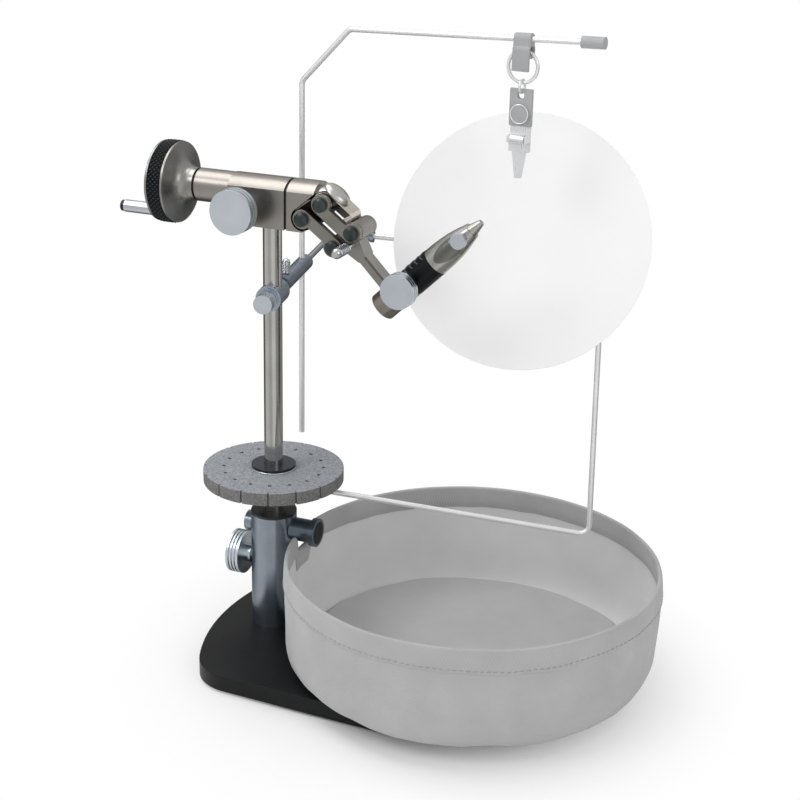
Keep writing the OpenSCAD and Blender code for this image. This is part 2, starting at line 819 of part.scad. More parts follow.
module tension_knob() {
    color("#c3c6c9") translate([-tension_x, -head_r - slack, axis_z - tension_drop]) rotate([90, 0, 0]) {
        knob(tension_knob_r, knob_t, knob_neck_r, tension_neck_len, 2);
        translate([0, 0, pad_depth - head_r - slack + fit])
            cylinder(h = head_r - pad_depth + tension_neck_len, r = screw_r);
    }
}

module tension_pad() {
    color("#e8e4da") difference() {
        translate([-tension_x, 0, axis_z - tension_drop]) bar_y(-pad_depth, -fit, screw_r);
        translate([0, 0, axis_z]) bar_x(head_x0, head_x1, shaft_r + 4 * fit);
    }
}

// Rotor: positions of the four linkage pins in the XZ plane

pin_a = [head_pin_x, axis_z + head_pin_rise];
pin_b = pin_a + pin_pitch * polar(pin_line_tilt);
pin_c = pin_a + link_len * polar(link_tilt);
pin_d = pin_b + link_len * polar(link_tilt);
cut_r = link_eye_r + cut_gap;
leaf_r = barrel_r + 2 * fit;
tongue_half = link_gap - 4 * fit;
block_x0 = head_x1 + front_washer_t;
block_x1 = head_pin_x + link_eye_r;
block_reach = 3 * head_r;

// The front of the block is cut on a slant below the upper pin and upright above it
slant_out = polar(pin_line_tilt - 90);
slant_foot = pin_b + (cut_r - seat) * slant_out;
slant_top = pin_a + (cut_r - seat) * slant_out;
slant_up = slant_top + [0, block_reach];

module slanted_cut() {
    translate(pin_a) circle(cut_r);
    translate(pin_b) circle(cut_r);
    polygon([pin_b, slant_foot, slant_top, slant_up, slant_up + [block_reach, 0],
        pin_b + block_reach * [1, -1], pin_b + [0, -block_reach]]);
}

module rotor_block() {
    color("#a49f97") difference() {
        union() {
            difference() {
                head_bar(block_x0, block_x1, 0);
                plate_xz(-head_r - over, head_r + over) slanted_cut();
            }
            plate_xz(-tongue_half, tongue_half) {
                capsule(pin_b, pin_a, barrel_r);
                capsule(pin_b, pin_b + root_share * (pin_a - pin_b), cut_r + fit);
            }
        }
        translate([0, 0, axis_z]) bar_x(block_x0 - over, rotor_shaft_x1 + fit, shaft_r + seat);
        for (p = [pin_a, pin_b])
            translate([p[0], 0, p[1]]) bar_y(-head_r - over, head_r + over, pin_r + seat);
    }
}

rotor_shaft_x1 = block_x0 + shaft_seat_len;
rotor_shaft_x0 = wheel_x1 - wheel_w + wheel_web_t;

module rotor_shaft() {
    color("#9a9a98") translate([0, 0, axis_z]) bar_x(rotor_shaft_x0, rotor_shaft_x1, shaft_r);
}

module rotor_washers() {
    color("#141414") {
        difference() {
            head_bar(head_x1 + fit, block_x0, groove_d);
            translate([0, 0, axis_z]) bar_x(head_x1 - over, block_x0 + over, shaft_r + seat);
        }
        translate([0, 0, axis_z]) difference() {
            bar_x(neck_x0 - rear_washer_t, neck_x0 - fit, neck_r - groove_d);
            bar_x(neck_x0 - rear_washer_t - over, neck_x0 + over, shaft_r + seat);
        }
    }
}

module nose_relief() {
    up = polar(leaf_turn);
    low = pin_a + (leaf_r + leaf_t + nose_gap) * up;
    far = low + block_reach * polar(leaf_turn - 90);
    translate(pin_a) circle(leaf_r + leaf_t + nose_gap);
    polygon([low, far, far - block_reach * up, pin_a - block_reach * up]);
}

module nose_side() {
    polygon([slant_top, slant_up, slant_up + [block_reach, 0], pin_a + block_reach * [1, -1], pin_a]);
}

module rotor_nose() {
    color("#cfccc6") intersection() {
        difference() {
            translate([0, 0, axis_z - nose_drop]) {
                bar_x(block_x0, nose_x1 - nose_r, nose_r);
                translate([nose_x1 - nose_r, 0, 0]) sphere(nose_r);
            }
            plate_xz(-head_r, head_r) nose_relief();
        }
        plate_xz(-tongue_half, tongue_half) nose_side();
    }
}

module domed_pin(p) {
    half = link_gap + link_t;
    translate([p[0], 0, p[1]]) {
        bar_y(-half - cap_t / 2, half + cap_t / 2, pin_r);
        for (side = [0, 1]) mirror([0, side, 0])
            intersection() {
                translate([0, half + fit, 0]) bar_y(0, cap_t, cap_r);
                translate([0, half + fit + cap_t - 2 * cap_r, 0]) sphere(2 * cap_r);
            }
    }
}

module head_pins() {
    color("#25292c") {
        domed_pin(pin_a);
        domed_pin(pin_b);
    }
}

// Hand wheel

wheel_x0 = wheel_x1 - wheel_w;
hub_x1 = neck_x0 - rear_washer_t;
crank_y = crank_offset * cos(crank_turn);
crank_z = axis_z + crank_offset * sin(crank_turn);

module hand_wheel() {
    color("#aaa7a1") translate([0, 0, axis_z]) difference() {
        union() {
            bar_x(wheel_x0, wheel_x1, wheel_r - band_t);
            for (x0 = [wheel_x0, wheel_x1 - (wheel_w - band_w) / 2])
                bar_x(x0, x0 + (wheel_w - band_w) / 2, wheel_r - band_t / 4);
            bar_x(wheel_x1 - over, hub_x1, wheel_hub_r);
            translate([wheel_x1, 0, 0]) rotate([0, 90, 0])
                cylinder(h = hub_flare, r1 = wheel_hub_r + hub_flare, r2 = wheel_hub_r);
        }
        bar_x(rotor_shaft_x0 - fit, hub_x1 + over, shaft_r + seat);
        translate([0, crank_y, crank_z - axis_z])
            bar_x(wheel_x0 - over, wheel_x0 + wheel_w / 2, crank_pin_r + seat);
    }
}

module wheel_grip() {
    color("#111314") translate([0, 0, axis_z]) difference() {
        bar_x(wheel_x0 + (wheel_w - band_w) / 2 + seat, wheel_x1 - (wheel_w - band_w) / 2 - seat, wheel_r);
        bar_x(wheel_x0 - over, wheel_x1 + over, wheel_r - band_t + seat);
    }
}

module crank_pin() {
    color("#8f9296") translate([0, crank_y, crank_z]) {
        bar_x(wheel_x0 - slack - crank_len - slack, wheel_x0 + wheel_w / 2 - slack, crank_pin_r);
        bar_x(wheel_x0 - crank_len - 2 * slack - crank_pin_r, wheel_x0 - crank_len - 2 * slack,
            crank_r - groove_d / 2);
    }
}

module crank_handle() {
    color("#c9ccd0") translate([0, crank_y, crank_z]) difference() {
        bar_x(wheel_x0 - slack - crank_len, wheel_x0 - slack, crank_r);
        bar_x(wheel_x0 - crank_len - over, wheel_x0 + over, crank_pin_r + fit);
    }
}

// Linkage

// A link's body runs on one side of the line of its pins, clear of what moves past the other
module link_body(p, q, side) {
    up = side * polar(link_tilt + 90);
    low = link_eye_r - seat;
    polygon([p + link_rise * up, q + link_rise * up, q - low * up, p - low * up]);
}

module link_pair(p, q, up) {
    for (side = [0, 1]) mirror([0, side, 0]) difference() {
        plate_xz(link_gap, link_gap + link_t) {
            translate(p) circle(link_eye_r);
            translate(q) circle(link_eye_r);
            link_body(p, q, up);
        }
        for (c = [p, q]) translate([c[0], 0, c[1]]) bar_y(0, link_gap + link_t + over, pin_r + fit);
    }
}

module upper_links() {
    color("#77736c") link_pair(pin_a, pin_c, 1);
}

module lower_links() {
    color("#77736c") link_pair(pin_b, pin_d, -1);
}

// The strip wraps the upper head barrel, runs beside the upper link and curls on the arm's barrel
curl_c = pin_c + (barrel_r + fit + curl_r) * polar(curl_turn);
leaf_turn = tangent_turn(pin_a, leaf_r, curl_c, curl_r - leaf_t);
arc_steps = 24;

module ring_sector(c, r0, r1, a0, a1) {
    step = (a1 - a0) / arc_steps;
    translate(c) polygon(concat(
        [for (i = [0 : arc_steps]) r0 * polar(a0 + i * step)],
        [for (i = [arc_steps : -1 : 0]) r1 * polar(a0 + i * step)]));
}

module leaf_spring() {
    up = polar(leaf_turn);
    start = pin_a + leaf_r * up;
    foot = curl_c + (curl_r - leaf_t) * up;
    color("#d9d5c9") {
        plate_xz(-leaf_w / 2, leaf_w / 2) {
            ring_sector(pin_a, leaf_r, leaf_r + leaf_t, leaf_turn, leaf_turn + leaf_wrap);
            polygon([start, start + leaf_t * up, foot + leaf_t * up, foot]);
            ring_sector(curl_c, curl_r - leaf_t, curl_r, leaf_turn - curl_wrap, leaf_turn);
        }
        plate_xz(-link_gap, link_gap)
            ring_sector(pin_a, leaf_r, leaf_r + leaf_t, leaf_turn + leaf_wrap / 2, leaf_turn + leaf_wrap);
    }
}

// Arm: its bar hangs from the lower pin square to the jaws

jaw_dir = polar(jaw_tilt);
arm_dir = polar(jaw_tilt - 90);
bar_top = pin_d + arm_offset * jaw_dir;
bar_foot = bar_top + arm_len * arm_dir;
tail = bar_foot - jaw_tail * jaw_dir;
barrel_half = link_gap - 4 * fit;
lock_p = pin_d + lock_s * jaw_dir + barrel_r * arm_dir;
web_foot = bar_top + web_len * arm_dir;

module arm_bar(half_t, half_w) {
    plate_xz(-half_w, half_w)
        polygon([bar_top - half_t * jaw_dir, bar_top + half_t * jaw_dir,
            bar_foot + half_t * jaw_dir, bar_foot - half_t * jaw_dir]);
}

module arm() {
    color("#77736c") difference() {
        union() {
            for (p = [pin_c, pin_d])
                translate([p[0], 0, p[1]]) bar_y(-barrel_half, barrel_half, barrel_r);
            plate_xz(-arm_w / 2, arm_w / 2) {
                capsule(pin_c, pin_d, arm_t / 2);
                translate(lock_p) circle(2 * lock_root_r);
                polygon([pin_d, pin_c, web_foot + arm_t / 2 * jaw_dir,
                    web_foot - arm_t / 2 * jaw_dir]);
            }
            arm_bar(arm_t / 2, arm_w / 2 - arm_bevel);
            arm_bar(arm_t / 2 - arm_bevel, arm_w / 2);
        }
        for (p = [pin_c, pin_d])
            translate([p[0], 0, p[1]]) bar_y(-head_r, head_r, pin_r + seat);
        translate([lock_p[0], 0, lock_p[1]]) bar_y(-arm_w, arm_w, lock_root_r + fit);
        on_jaws() bar_x(-jaw_r, jaw_body_len, jaw_r + seat);
    }
}

module arm_pins() {
    color("#25292c") {
        domed_pin(pin_c);
        domed_pin(pin_d);
    }
}

module lock_screw() {
    head_len = 0.6 * lock_len;
    ribs = 5;
    color("#c9ccd0") translate([lock_p[0], 0, lock_p[1]]) difference() {
        union() {
            bar_y(-arm_w / 2 - lock_len, arm_w / 2, lock_root_r);
            bar_y(-arm_w / 2 - lock_len + lock_r, -arm_w / 2 - lock_len + head_len, lock_r);
            translate([0, -arm_w / 2 - lock_len + lock_r, 0]) sphere(lock_r);
        }
        for (i = [1 : ribs])
            translate([0, -arm_w / 2 - lock_len + lock_r + i * (head_len - lock_r) / (ribs + 1), 0])
                difference() {
                    bar_y(-groove_w / 2, groove_w / 2, lock_r + over);
                    bar_y(-groove_w, groove_w, lock_r - groove_d);
                }
    }
}

// Jaws, drawn along +X from the tail and tilted into place

module on_jaws() {
    translate([tail[0], 0, tail[1]]) rotate([0, -jaw_tilt, 0]) children();
}

grip_s1 = jaw_body_len + grip_len;
core_r = jaw_r - grip_wall;
cam_depth = 0.6 * jaw_r;

module jaw_body() {
    color("#6f675f") on_jaws() difference() {
        union() {
            bar_x(0, jaw_body_len, jaw_r);
            bar_x(0, grip_s1, core_r);
        }
        translate([cam_s, 0, 0]) bar_y(-jaw_r - over, -jaw_r + cam_depth, cam_root_r + fit);
    }
}

module grip_sleeve() {
    color("#141516") on_jaws() difference() {
        bar_x(jaw_body_len, grip_s1, jaw_r + fit);
        bar_x(jaw_body_len - over, grip_s1 + over, core_r + seat);
        translate([cam_s, 0, 0]) bar_y(-jaw_r - 2 * over, 0, cam_neck_r + 2 * slack);
    }
}

// Radius of the nose at even steps along it, as shares of the body's radius
nose_shares = [1, 1, 0.98, 0.94, 0.88, 0.79, 0.67, 0.55];

module jaw_solid(s0) {
    last = len(nose_shares) - 1;
    step = jaw_nose_len / last;
    rotate([90, 0, 90]) rotate_extrude()
        polygon(concat([[0, s0]],
            [for (i = [0 : last]) [jaw_r * nose_shares[i], max(s0, grip_s1 + i * step)]],
            [[jaw_tip_r, grip_s1 + jaw_nose_len], [jaw_point_r, grip_s1 + jaw_nose_len + jaw_tip_len],
                [0, grip_s1 + jaw_nose_len + jaw_tip_len]]));
}

size_seat_share = 0.72;
size_seat = size_seat_share * jaw_r;

module jaw_half(s0, side) {
    on_jaws() difference() {
        intersection() {
            jaw_solid(s0);
            translate([s0 - over, side > 0 ? jaw_seam / 2 : -2 * jaw_r - jaw_seam / 2, -2 * jaw_r])
                cube([jaw_nose_len + jaw_tip_len + 2 * over, 2 * jaw_r, 4 * jaw_r]);
        }
        translate([size_knob_s, 0, 0]) bar_y(-jaw_r, 0, size_root_r + fit);
        translate([size_knob_s, 0, 0]) bar_y(-2 * jaw_r, -size_seat, size_knob_r + slack);
    }
}

module jaw_front() {
    color("#8e8a83") jaw_half(grip_s1, -1);
}

module jaw_rear() {
    color("#8e8a83") jaw_half(grip_s1 + rear_gap, 1);
}

module cam_knob() {
    color("#c3c6c9") on_jaws() translate([cam_s, -jaw_r - slack, 0]) rotate([90, 0, 0]) {
        knob(cam_r, cam_t, cam_neck_r, knob_neck_len, 2);
        translate([0, 0, -cam_depth + slack]) cylinder(h = cam_depth + knob_neck_len, r = cam_root_r);
    }
}

module size_knob() {
    color("#c3c6c9") on_jaws() translate([size_knob_s, 0, 0]) {
        bar_y(-size_seat - fit - size_knob_t, -size_seat - fit, size_knob_r);
        bar_y(-size_seat - fit - size_knob_t, -jaw_seam / 2, size_root_r);
    }
}

// Accessory arm, drawn along +X and turned into place behind the stem

module on_arm() {
    translate([0, 0, acc_z]) rotate([0, 0, acc_turn]) children();
}

acc_screw_s = stem_r + 2 * fit;
neck_end = acc_tube_s0 + acc_neck_len;

module arm_clamp() {
    color("#76808f") on_arm() difference() {
        union() {
            bar_x(-acc_clamp_half, acc_clamp_half, acc_clamp_r);
            bar_x(-acc_clamp_half - 2 * groove_w, -acc_clamp_half + over, acc_collar_r);
            bar_x(acc_clamp_half - over, neck_end, acc_neck_r);
        }
        bar_z(-acc_clamp_r - over, acc_clamp_r + over, stem_r + fit);
        bar_x(-acc_clamp_half - 2 * over - groove_w, 0, acc_screw_r + fit);
    }
}

module arm_clamp_knob() {
    color("#b6bac0") on_arm() {
        bar_x(-acc_knob_s, -acc_clamp_half - 2 * groove_w - slack, acc_knob_r);
        bar_x(-acc_knob_s, -acc_screw_s, acc_screw_r);
    }
}

wire_hole_r = wire_r + fit;
tube_bore_s1 = acc_wire_s - 4 * wire_r;

module arm_tube() {
    color("#66707f") on_arm() difference() {
        bar_x(acc_tube_s0, acc_tube_s1, acc_tube_r);
        bar_x(acc_tube_s0 - over, tube_bore_s1, acc_neck_r + fit);
        bar_x(acc_wire_s, acc_tube_s1 + over, lock_rod_r + fit);
        translate([acc_wire_s, 0, 0]) bar_z(-acc_tube_r - over, acc_tube_r + over, wire_hole_r);
        translate([thumb_s, 0, 0]) bar_z(acc_neck_r, acc_tube_r + over, thumb_root_r + fit);
    }
}

module arm_thumb_screw() {
    ribs = 3;
    color("#d5d8db") on_arm() translate([thumb_s, 0, 0]) difference() {
        union() {
            bar_z(acc_neck_r + 2 * fit, acc_tube_r + over, thumb_root_r);
            bar_z(acc_tube_r + slack, acc_tube_r + slack + thumb_h, thumb_r);
            translate([0, 0, acc_tube_r + slack + thumb_h]) sphere(thumb_r);
        }
        for (i = [1 : ribs]) translate([0, 0, acc_tube_r + slack + i * thumb_h / (ribs + 1)])
            difference() {
                bar_z(-groove_w / 2, groove_w / 2, thumb_r + over);
                bar_z(-groove_w, groove_w, thumb_r - groove_d);
            }
    }
}

module wire_lock_screw() {
    color("#d0d3d6") on_arm() {
        bar_x(acc_wire_s + wire_r + fit, acc_tube_s1 + lock_rod_len, lock_rod_r);
        bar_x(acc_tube_s1 + lock_rod_len - 2 * lock_rod_r, acc_tube_s1 + lock_rod_len, 1.4 * lock_rod_r);
    }
}

// Gallows: a bent wire in its own upright plane, drawn along +X

gal_p = acc_wire_s * polar(acc_turn);
gal_z3 = gal_z2 + (gal_s3 - gal_s2) * tan(gal_rise);
tab_s = gal_s3 - tab_back;

module on_gallows() {
    translate([gal_p[0], gal_p[1], 0]) rotate([0, 0, gal_turn]) children();
}

module gallows_wire() {
    color("#e3e4e5") on_gallows()
        bent_wire(wire_path([[0, 0, gal_z0], [0, 0, gal_z1], [gal_s2, 0, gal_z2], [gal_s3, 0, gal_z3]],
            bend_r), wire_r);
}

// Places a piece on the top wire, at reach s, with +X along the wire
module on_top_wire(s) {
    translate([s, 0, gal_z2 + (s - gal_s2) * tan(gal_rise)]) children();
}

module gallows_cap() {
    color("#8a8c8e") on_gallows() on_top_wire(gal_s3) rotate([0, -gal_rise, 0]) difference() {
        bar_x(wire_r - tip_cap_len, wire_r, tip_cap_r);
        bar_x(-tip_cap_len - over, seat, wire_r + seat);
    }
}

// Runner tab: a folded strap that rides on the top wire and carries the key ring

ring_c_r = ring_r - ring_wire_r;
ring_sag = ring_c_r - sqrt(pow(ring_c_r, 2) - pow(tab_w / 2, 2));
ring_hole_r = ring_sag + ring_wire_r + slack / 2;
ring_drop = wire_r + slack + tab_t + ring_hole_r;
tab_wrap_r = wire_hole_r + tab_t;

module runner_tab() {
    color("#a3a4a6") on_gallows() on_top_wire(tab_s) difference() {
        union() {
            rotate([0, -gal_rise, 0]) bar_x(-tab_w / 2, tab_w / 2, tab_wrap_r);
            translate([0, 0, -ring_drop]) bar_x(-tab_w / 2, tab_w / 2, ring_hole_r + tab_t);
            translate([-tab_w / 2, -ring_hole_r - tab_t, -tab_drop])
                cube([tab_w, tab_t, tab_drop - ring_drop]);
            translate([-tab_w / 2, -tab_wrap_r, -ring_drop])
                cube([tab_w, 2 * tab_wrap_r, ring_drop]);
        }
        rotate([0, -gal_rise, 0]) bar_x(-tab_w, tab_w, wire_hole_r);
        translate([0, 0, -ring_drop]) bar_x(-tab_w, tab_w, ring_hole_r);
    }
}

module key_ring() {
    color("#d9dadb") on_gallows() on_top_wire(tab_s)
        translate([0, 0, -ring_drop - ring_c_r]) rotate([90, 0, 0])
            rotate_extrude() translate([ring_c_r, 0]) circle(ring_wire_r, $fn = 32);
}

// The jump ring hangs in the key ring, square to it
jump_c_r = jump_r - jump_wire_r;
jump_top = ring_drop + 2 * ring_c_r + ring_wire_r + jump_wire_r + fit;
jump_drop = jump_top - 2 * ring_wire_r - 2 * jump_wire_r - 2 * fit + jump_c_r;

module jump_ring() {
    color("#d9dadb") on_gallows() on_top_wire(tab_s)
        translate([0, 0, -jump_drop]) rotate([0, 90, 0])
            rotate_extrude() translate([jump_c_r, 0]) circle(jump_wire_r, $fn = 32);
}

// Strap with its snap, and the two clip jaws that it holds
eyelet_top = jump_drop + sqrt(pow(jump_c_r, 2) - pow(strap_t / 2, 2)) - jump_wire_r - 2 * fit;
eyelet_drop = eyelet_top + eyelet_r;
strap_top = eyelet_top - eyelet_lip;
strap_bottom = strap_top + strap_len;
snap_drop = strap_bottom - snap_r - snap_t;
clip_hinge = strap_bottom + clip_body_len / 2;
clip_pin_y = -clip_gap / 2 - 2 * clip_plate_t;

module clip_strap() {
    color("#b0b1b3") on_gallows() on_top_wire(tab_s) {
        difference() {
            translate([-strap_w / 2, -strap_t / 2, -strap_bottom]) cube([strap_w, strap_t, strap_len]);
            translate([0, 0, -eyelet_drop]) bar_y(-strap_t, strap_t, eyelet_r);
        }
        translate([0, 0, -snap_drop]) bar_y(-strap_t / 2 - snap_t, strap_t / 2 + snap_t, snap_r);
    }
}

// Half width of a clip plate from its root to its tip, as shares of the clip's width
clip_width_shares = [0.5, 0.5, 0.32, 0.14];

module clip_outline() {
    drops = [strap_bottom + slack, strap_bottom + clip_body_len,
        strap_bottom + clip_body_len, strap_bottom + clip_body_len + clip_jaw_len];
    polygon(concat([for (i = [0 : len(drops) - 1]) [clip_w * clip_width_shares[i], -drops[i]]],
        [for (i = [len(drops) - 1 : -1 : 0]) [-clip_w * clip_width_shares[i], -drops[i]]]));
}

module clip_plate(y0) {
    plate_xz(y0, y0 + clip_plate_t) clip_outline();
}

module clip_rear_jaw() {
    ear_y0 = clip_pin_y - clip_plate_t - slack;
    color("#c4c5c7") on_gallows() on_top_wire(tab_s) {
        clip_plate(clip_gap / 2);
        for (side = [0, 1]) mirror([side, 0, 0])
            translate([clip_w / 2 - clip_ear, ear_y0, -clip_hinge - 2 * clip_pin_r])
                cube([clip_ear, clip_gap / 2 + clip_plate_t / 2 - ear_y0, 4 * clip_pin_r]);
        translate([0, clip_pin_y, -clip_hinge]) bar_x(-clip_w / 2, clip_w / 2, clip_pin_r);
        translate([-strap_w / 4, clip_gap / 2, -strap_bottom - slack - clip_plate_t])
            cube([strap_w / 2, clip_plate_t, slack + clip_plate_t]);
    }
}

module clip_front_jaw() {
    inner = clip_w / 2 - clip_ear - slack;
    color("#c4c5c7") on_gallows() on_top_wire(tab_s) difference() {
        union() {
            intersection() {
                clip_plate(-clip_gap / 2 - clip_plate_t);
                translate([-clip_w, -clip_w, -strap_bottom - clip_body_len - clip_jaw_len - over])
                    cube([2 * clip_w, 2 * clip_w, clip_body_len / 2 + clip_jaw_len + over]);
            }
            translate([0, clip_pin_y, -clip_hinge]) bar_x(-inner, inner, clip_pin_r + clip_plate_t);
        }
        translate([0, clip_pin_y, -clip_hinge]) bar_x(-clip_w, clip_w, clip_pin_r + fit);
        for (side = [0, 1]) mirror([side, 0, 0])
            translate([inner, -clip_w, -clip_hinge - 2 * clip_pin_r - slack])
                cube([clip_w, 2 * clip_w, 4 * clip_pin_r + 2 * slack]);
    }
}

// Background plate on its wire frame

low_turn = atan2(frame_low_y, frame_low_x);
eye_path_r = eye_r / cos(joint_turn / 2);
// The eye is an open hook around the stem, which ends short of the wire that leaves it
eye_steps = 16;
eye_points = [for (k = [eye_steps : -1 : 0]) let (a = low_turn + 90 + k * joint_turn)
    [eye_path_r * cos(a), eye_path_r * sin(a), eye_z]];
frame_low = [frame_low_x, frame_low_y, frame_low_z];
frame_high = [frame_high_x, frame_high_y, frame_high_z];
frame_dir = [cos(frame_fall) * cos(frame_turn), cos(frame_fall) * sin(frame_turn), -sin(frame_fall)];
frame_end = frame_high - frame_len * frame_dir;
plate_s = frame_len - plate_back;

module frame_wire() {
    run = wire_path([eye_points[eye_steps], frame_low, frame_high, frame_end], bend_r);
    color("#e3e4e5") bent_wire(concat(eye_points, [for (i = [1 : len(run) - 1]) run[i]]), wire_r);
}

// Places a piece on the wire behind the plate, at a distance s from the upper corner
module on_frame(s) {
    translate(frame_high) rotate([0, frame_fall, frame_turn]) translate([-s, 0, 0]) children();
}

module frame_cap() {
    ribs = 3;
    color("#9aa0a8") on_frame(frame_len) difference() {
        bar_x(-frame_cap_len / 3, frame_cap_len * 2 / 3, frame_cap_r);
        bar_x(-seat, frame_cap_len, wire_r + seat);
        for (i = [1 : ribs]) translate([-frame_cap_len / 3 + i * frame_cap_len / (ribs + 1), 0, 0])
            difference() {
                bar_x(-groove_w / 2, groove_w / 2, frame_cap_r + over);
                bar_x(-groove_w, groove_w, frame_cap_r - groove_d);
            }
    }
}

module background_plate() {
    color("#f0f0f0") on_frame(plate_s) rotate([-plate_tilt, 0, 0]) translate([0, -back_wire_gap, plate_h])
        bar_y(0, plate_t, plate_r);
}

// Places of the two clips to each side of the plate's centre, as shares of its radius
clip_reach_shares = [-0.36, 0.45];

module plate_clips() {
    color("#dcdddf") for (share = clip_reach_shares)
        on_frame(plate_s + share * plate_r) rotate([-plate_tilt, 0, 0]) difference() {
            union() {
                bar_x(-clip_half, clip_half, wire_hole_r + clip_wall);
                translate([-clip_half, -back_wire_gap, -wire_hole_r - clip_wall])
                    cube([2 * clip_half, back_wire_gap, 2 * (wire_hole_r + clip_wall)]);
            }
            bar_x(-clip_half - over, clip_half + over, wire_hole_r);
            translate([-clip_half - over, -back_wire_gap - over, -2 * clip_half])
                cube([2 * clip_half + 2 * over, plate_t + over, 4 * clip_half]);
        }
}

// Waste bin, open at the top, with a notch for the stud

bin_z0 = base_top + soft_gap;
notch_half = stud_flange_r + 2 * soft_gap;
notch_z = stud_z - stud_flange_r - 2 * soft_gap;
// Rounded turn between wall and floor, as shares of its width and height
turn_shares = [[0, 0], [0.32, 0.02], [0.58, 0.12], [0.79, 0.3], [0.93, 0.58], [1, 1]];

function turn_points(inset) = [for (p = turn_shares)
    [bin_floor_r - inset + (bin_r - bin_floor_r) * p[0],
        bin_z0 + inset + (bin_turn_z - bin_z0 - inset) * p[1]]];

bin_x = bin_near_x + bin_r;

module on_bin() {
    translate([bin_x, bin_y, 0]) children();
}

module stud_notch() {
    translate([-bin_x + post_r - over, -bin_y - notch_half, notch_z])
        cube([2 * (stud_flange_x - post_r) + 2 * over, 2 * notch_half, bin_top]);
}

module bin_fabric() {
    color("#c9cacb") on_bin() difference() {
        rotate_extrude() polygon(concat([[0, bin_z0]], turn_points(0),
            [[bin_r, bin_top - soft_gap], [bin_r - bin_t, bin_top - soft_gap]],
            [for (i = [len(turn_shares) - 1 : -1 : 0]) turn_points(bin_t)[i]],
            [[0, bin_z0 + bin_t]]));
        stud_notch();
    }
}

module bin_hem() {
    color("#bcbdbf") on_bin() difference() {
        union() {
            difference() {
                bar_z(bin_top - hem_h, bin_top, bin_r + hem_t);
                bar_z(bin_top - hem_h - over, bin_top + over, bin_r);
            }
            difference() {
                bar_z(bin_top - soft_gap, bin_top, bin_r + hem_t);
                bar_z(bin_top - soft_gap - over, bin_top + over, bin_r - bin_t);
            }
        }
        stud_notch();
    }
}

base_plate();
base_pad();
base_bolt();
socket_post();
bin_stud();
post_plug();
clamp_knob();
socket_sleeve();
stem();
support_collar();
grub_screws();
tool_foam();
disc_hub();
disc_washer();
head_housing();
shaft_bushes();
tension_knob();
tension_pad();
rotor_shaft();
rotor_washers();
rotor_block();
rotor_nose();
head_pins();
hand_wheel();
wheel_grip();
crank_pin();
crank_handle();
upper_links();
leaf_spring();
lower_links();
arm();
arm_pins();
lock_screw();
jaw_body();
grip_sleeve();
jaw_front();
jaw_rear();
cam_knob();
size_knob();
arm_clamp();
arm_clamp_knob();
arm_tube();
arm_thumb_screw();
wire_lock_screw();
gallows_wire();
gallows_cap();
runner_tab();
key_ring();
jump_ring();
clip_strap();
clip_rear_jaw();
clip_front_jaw();
frame_wire();
frame_cap();
background_plate();
plate_clips();
bin_fabric();
bin_hem();
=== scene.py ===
"""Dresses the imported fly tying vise: its metals, foam, cloth, straps and small trim, for Blender 4.5."""

import logging
import math
from dataclasses import dataclass, field
from enum import Enum
from typing import Callable

import bmesh
import bpy
from mathutils import Matrix, Vector, noise


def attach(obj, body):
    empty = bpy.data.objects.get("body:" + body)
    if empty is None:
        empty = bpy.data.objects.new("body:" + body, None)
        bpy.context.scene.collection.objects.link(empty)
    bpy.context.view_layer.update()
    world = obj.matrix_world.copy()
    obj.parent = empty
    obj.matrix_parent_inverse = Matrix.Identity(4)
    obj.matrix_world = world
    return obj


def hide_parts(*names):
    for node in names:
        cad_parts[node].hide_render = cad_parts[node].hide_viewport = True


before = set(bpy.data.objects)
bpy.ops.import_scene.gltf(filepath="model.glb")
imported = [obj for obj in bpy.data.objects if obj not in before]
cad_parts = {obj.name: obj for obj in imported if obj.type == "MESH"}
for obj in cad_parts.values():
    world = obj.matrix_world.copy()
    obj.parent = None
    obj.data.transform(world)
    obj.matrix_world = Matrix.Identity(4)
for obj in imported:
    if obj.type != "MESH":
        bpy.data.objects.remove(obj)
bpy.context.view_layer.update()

log = logging.getLogger("vise")
MM = 0.001
AXIS_HEIGHT = 253.3 * MM  # the rotor's axis above the table
ARM_HEIGHT = 199 * MM  # the accessory arm's axis above the table
JAW_TILT = math.radians(44.2)  # how far the jaws point upwards
STUD_HEIGHT = 67.5 * MM  # the bin stud's axis above the table
PATCH_MM = 20.0  # size of the soft patches in paint and plastic
CLOUD_MM = 14.0  # size of the soft clouds in a metal's colour
WELD = 0.01 * MM  # points closer than this are one point


class Shine(Enum):
    """How a metal surface was finished, which sets the direction of its fine marks."""

    TURNED = "turned"
    BRUSHED = "brushed"
    BLASTED = "blasted"


class Axis(Enum):
    """A direction of the object's frame."""

    X = (1.0, 0.0, 0.0)
    Y = (0.0, 1.0, 0.0)
    Z = (0.0, 0.0, 1.0)


# Node helpers


def linear(code: str) -> tuple[float, float, float, float]:
    """Turn an sRGB hex value to a linear colour.

    Args:
        code: six hex digits, with or without a leading hash.

    Returns:
        Red, green, blue and alpha in linear light.
    """
    digits = code.lstrip("#")
    parts = [int(digits[i : i + 2], 16) / 255 for i in (0, 2, 4)]
    red, green, blue = (c / 12.92 if c <= 0.04045 else ((c + 0.055) / 1.055) ** 2.4 for c in parts)
    return (red, green, blue, 1.0)


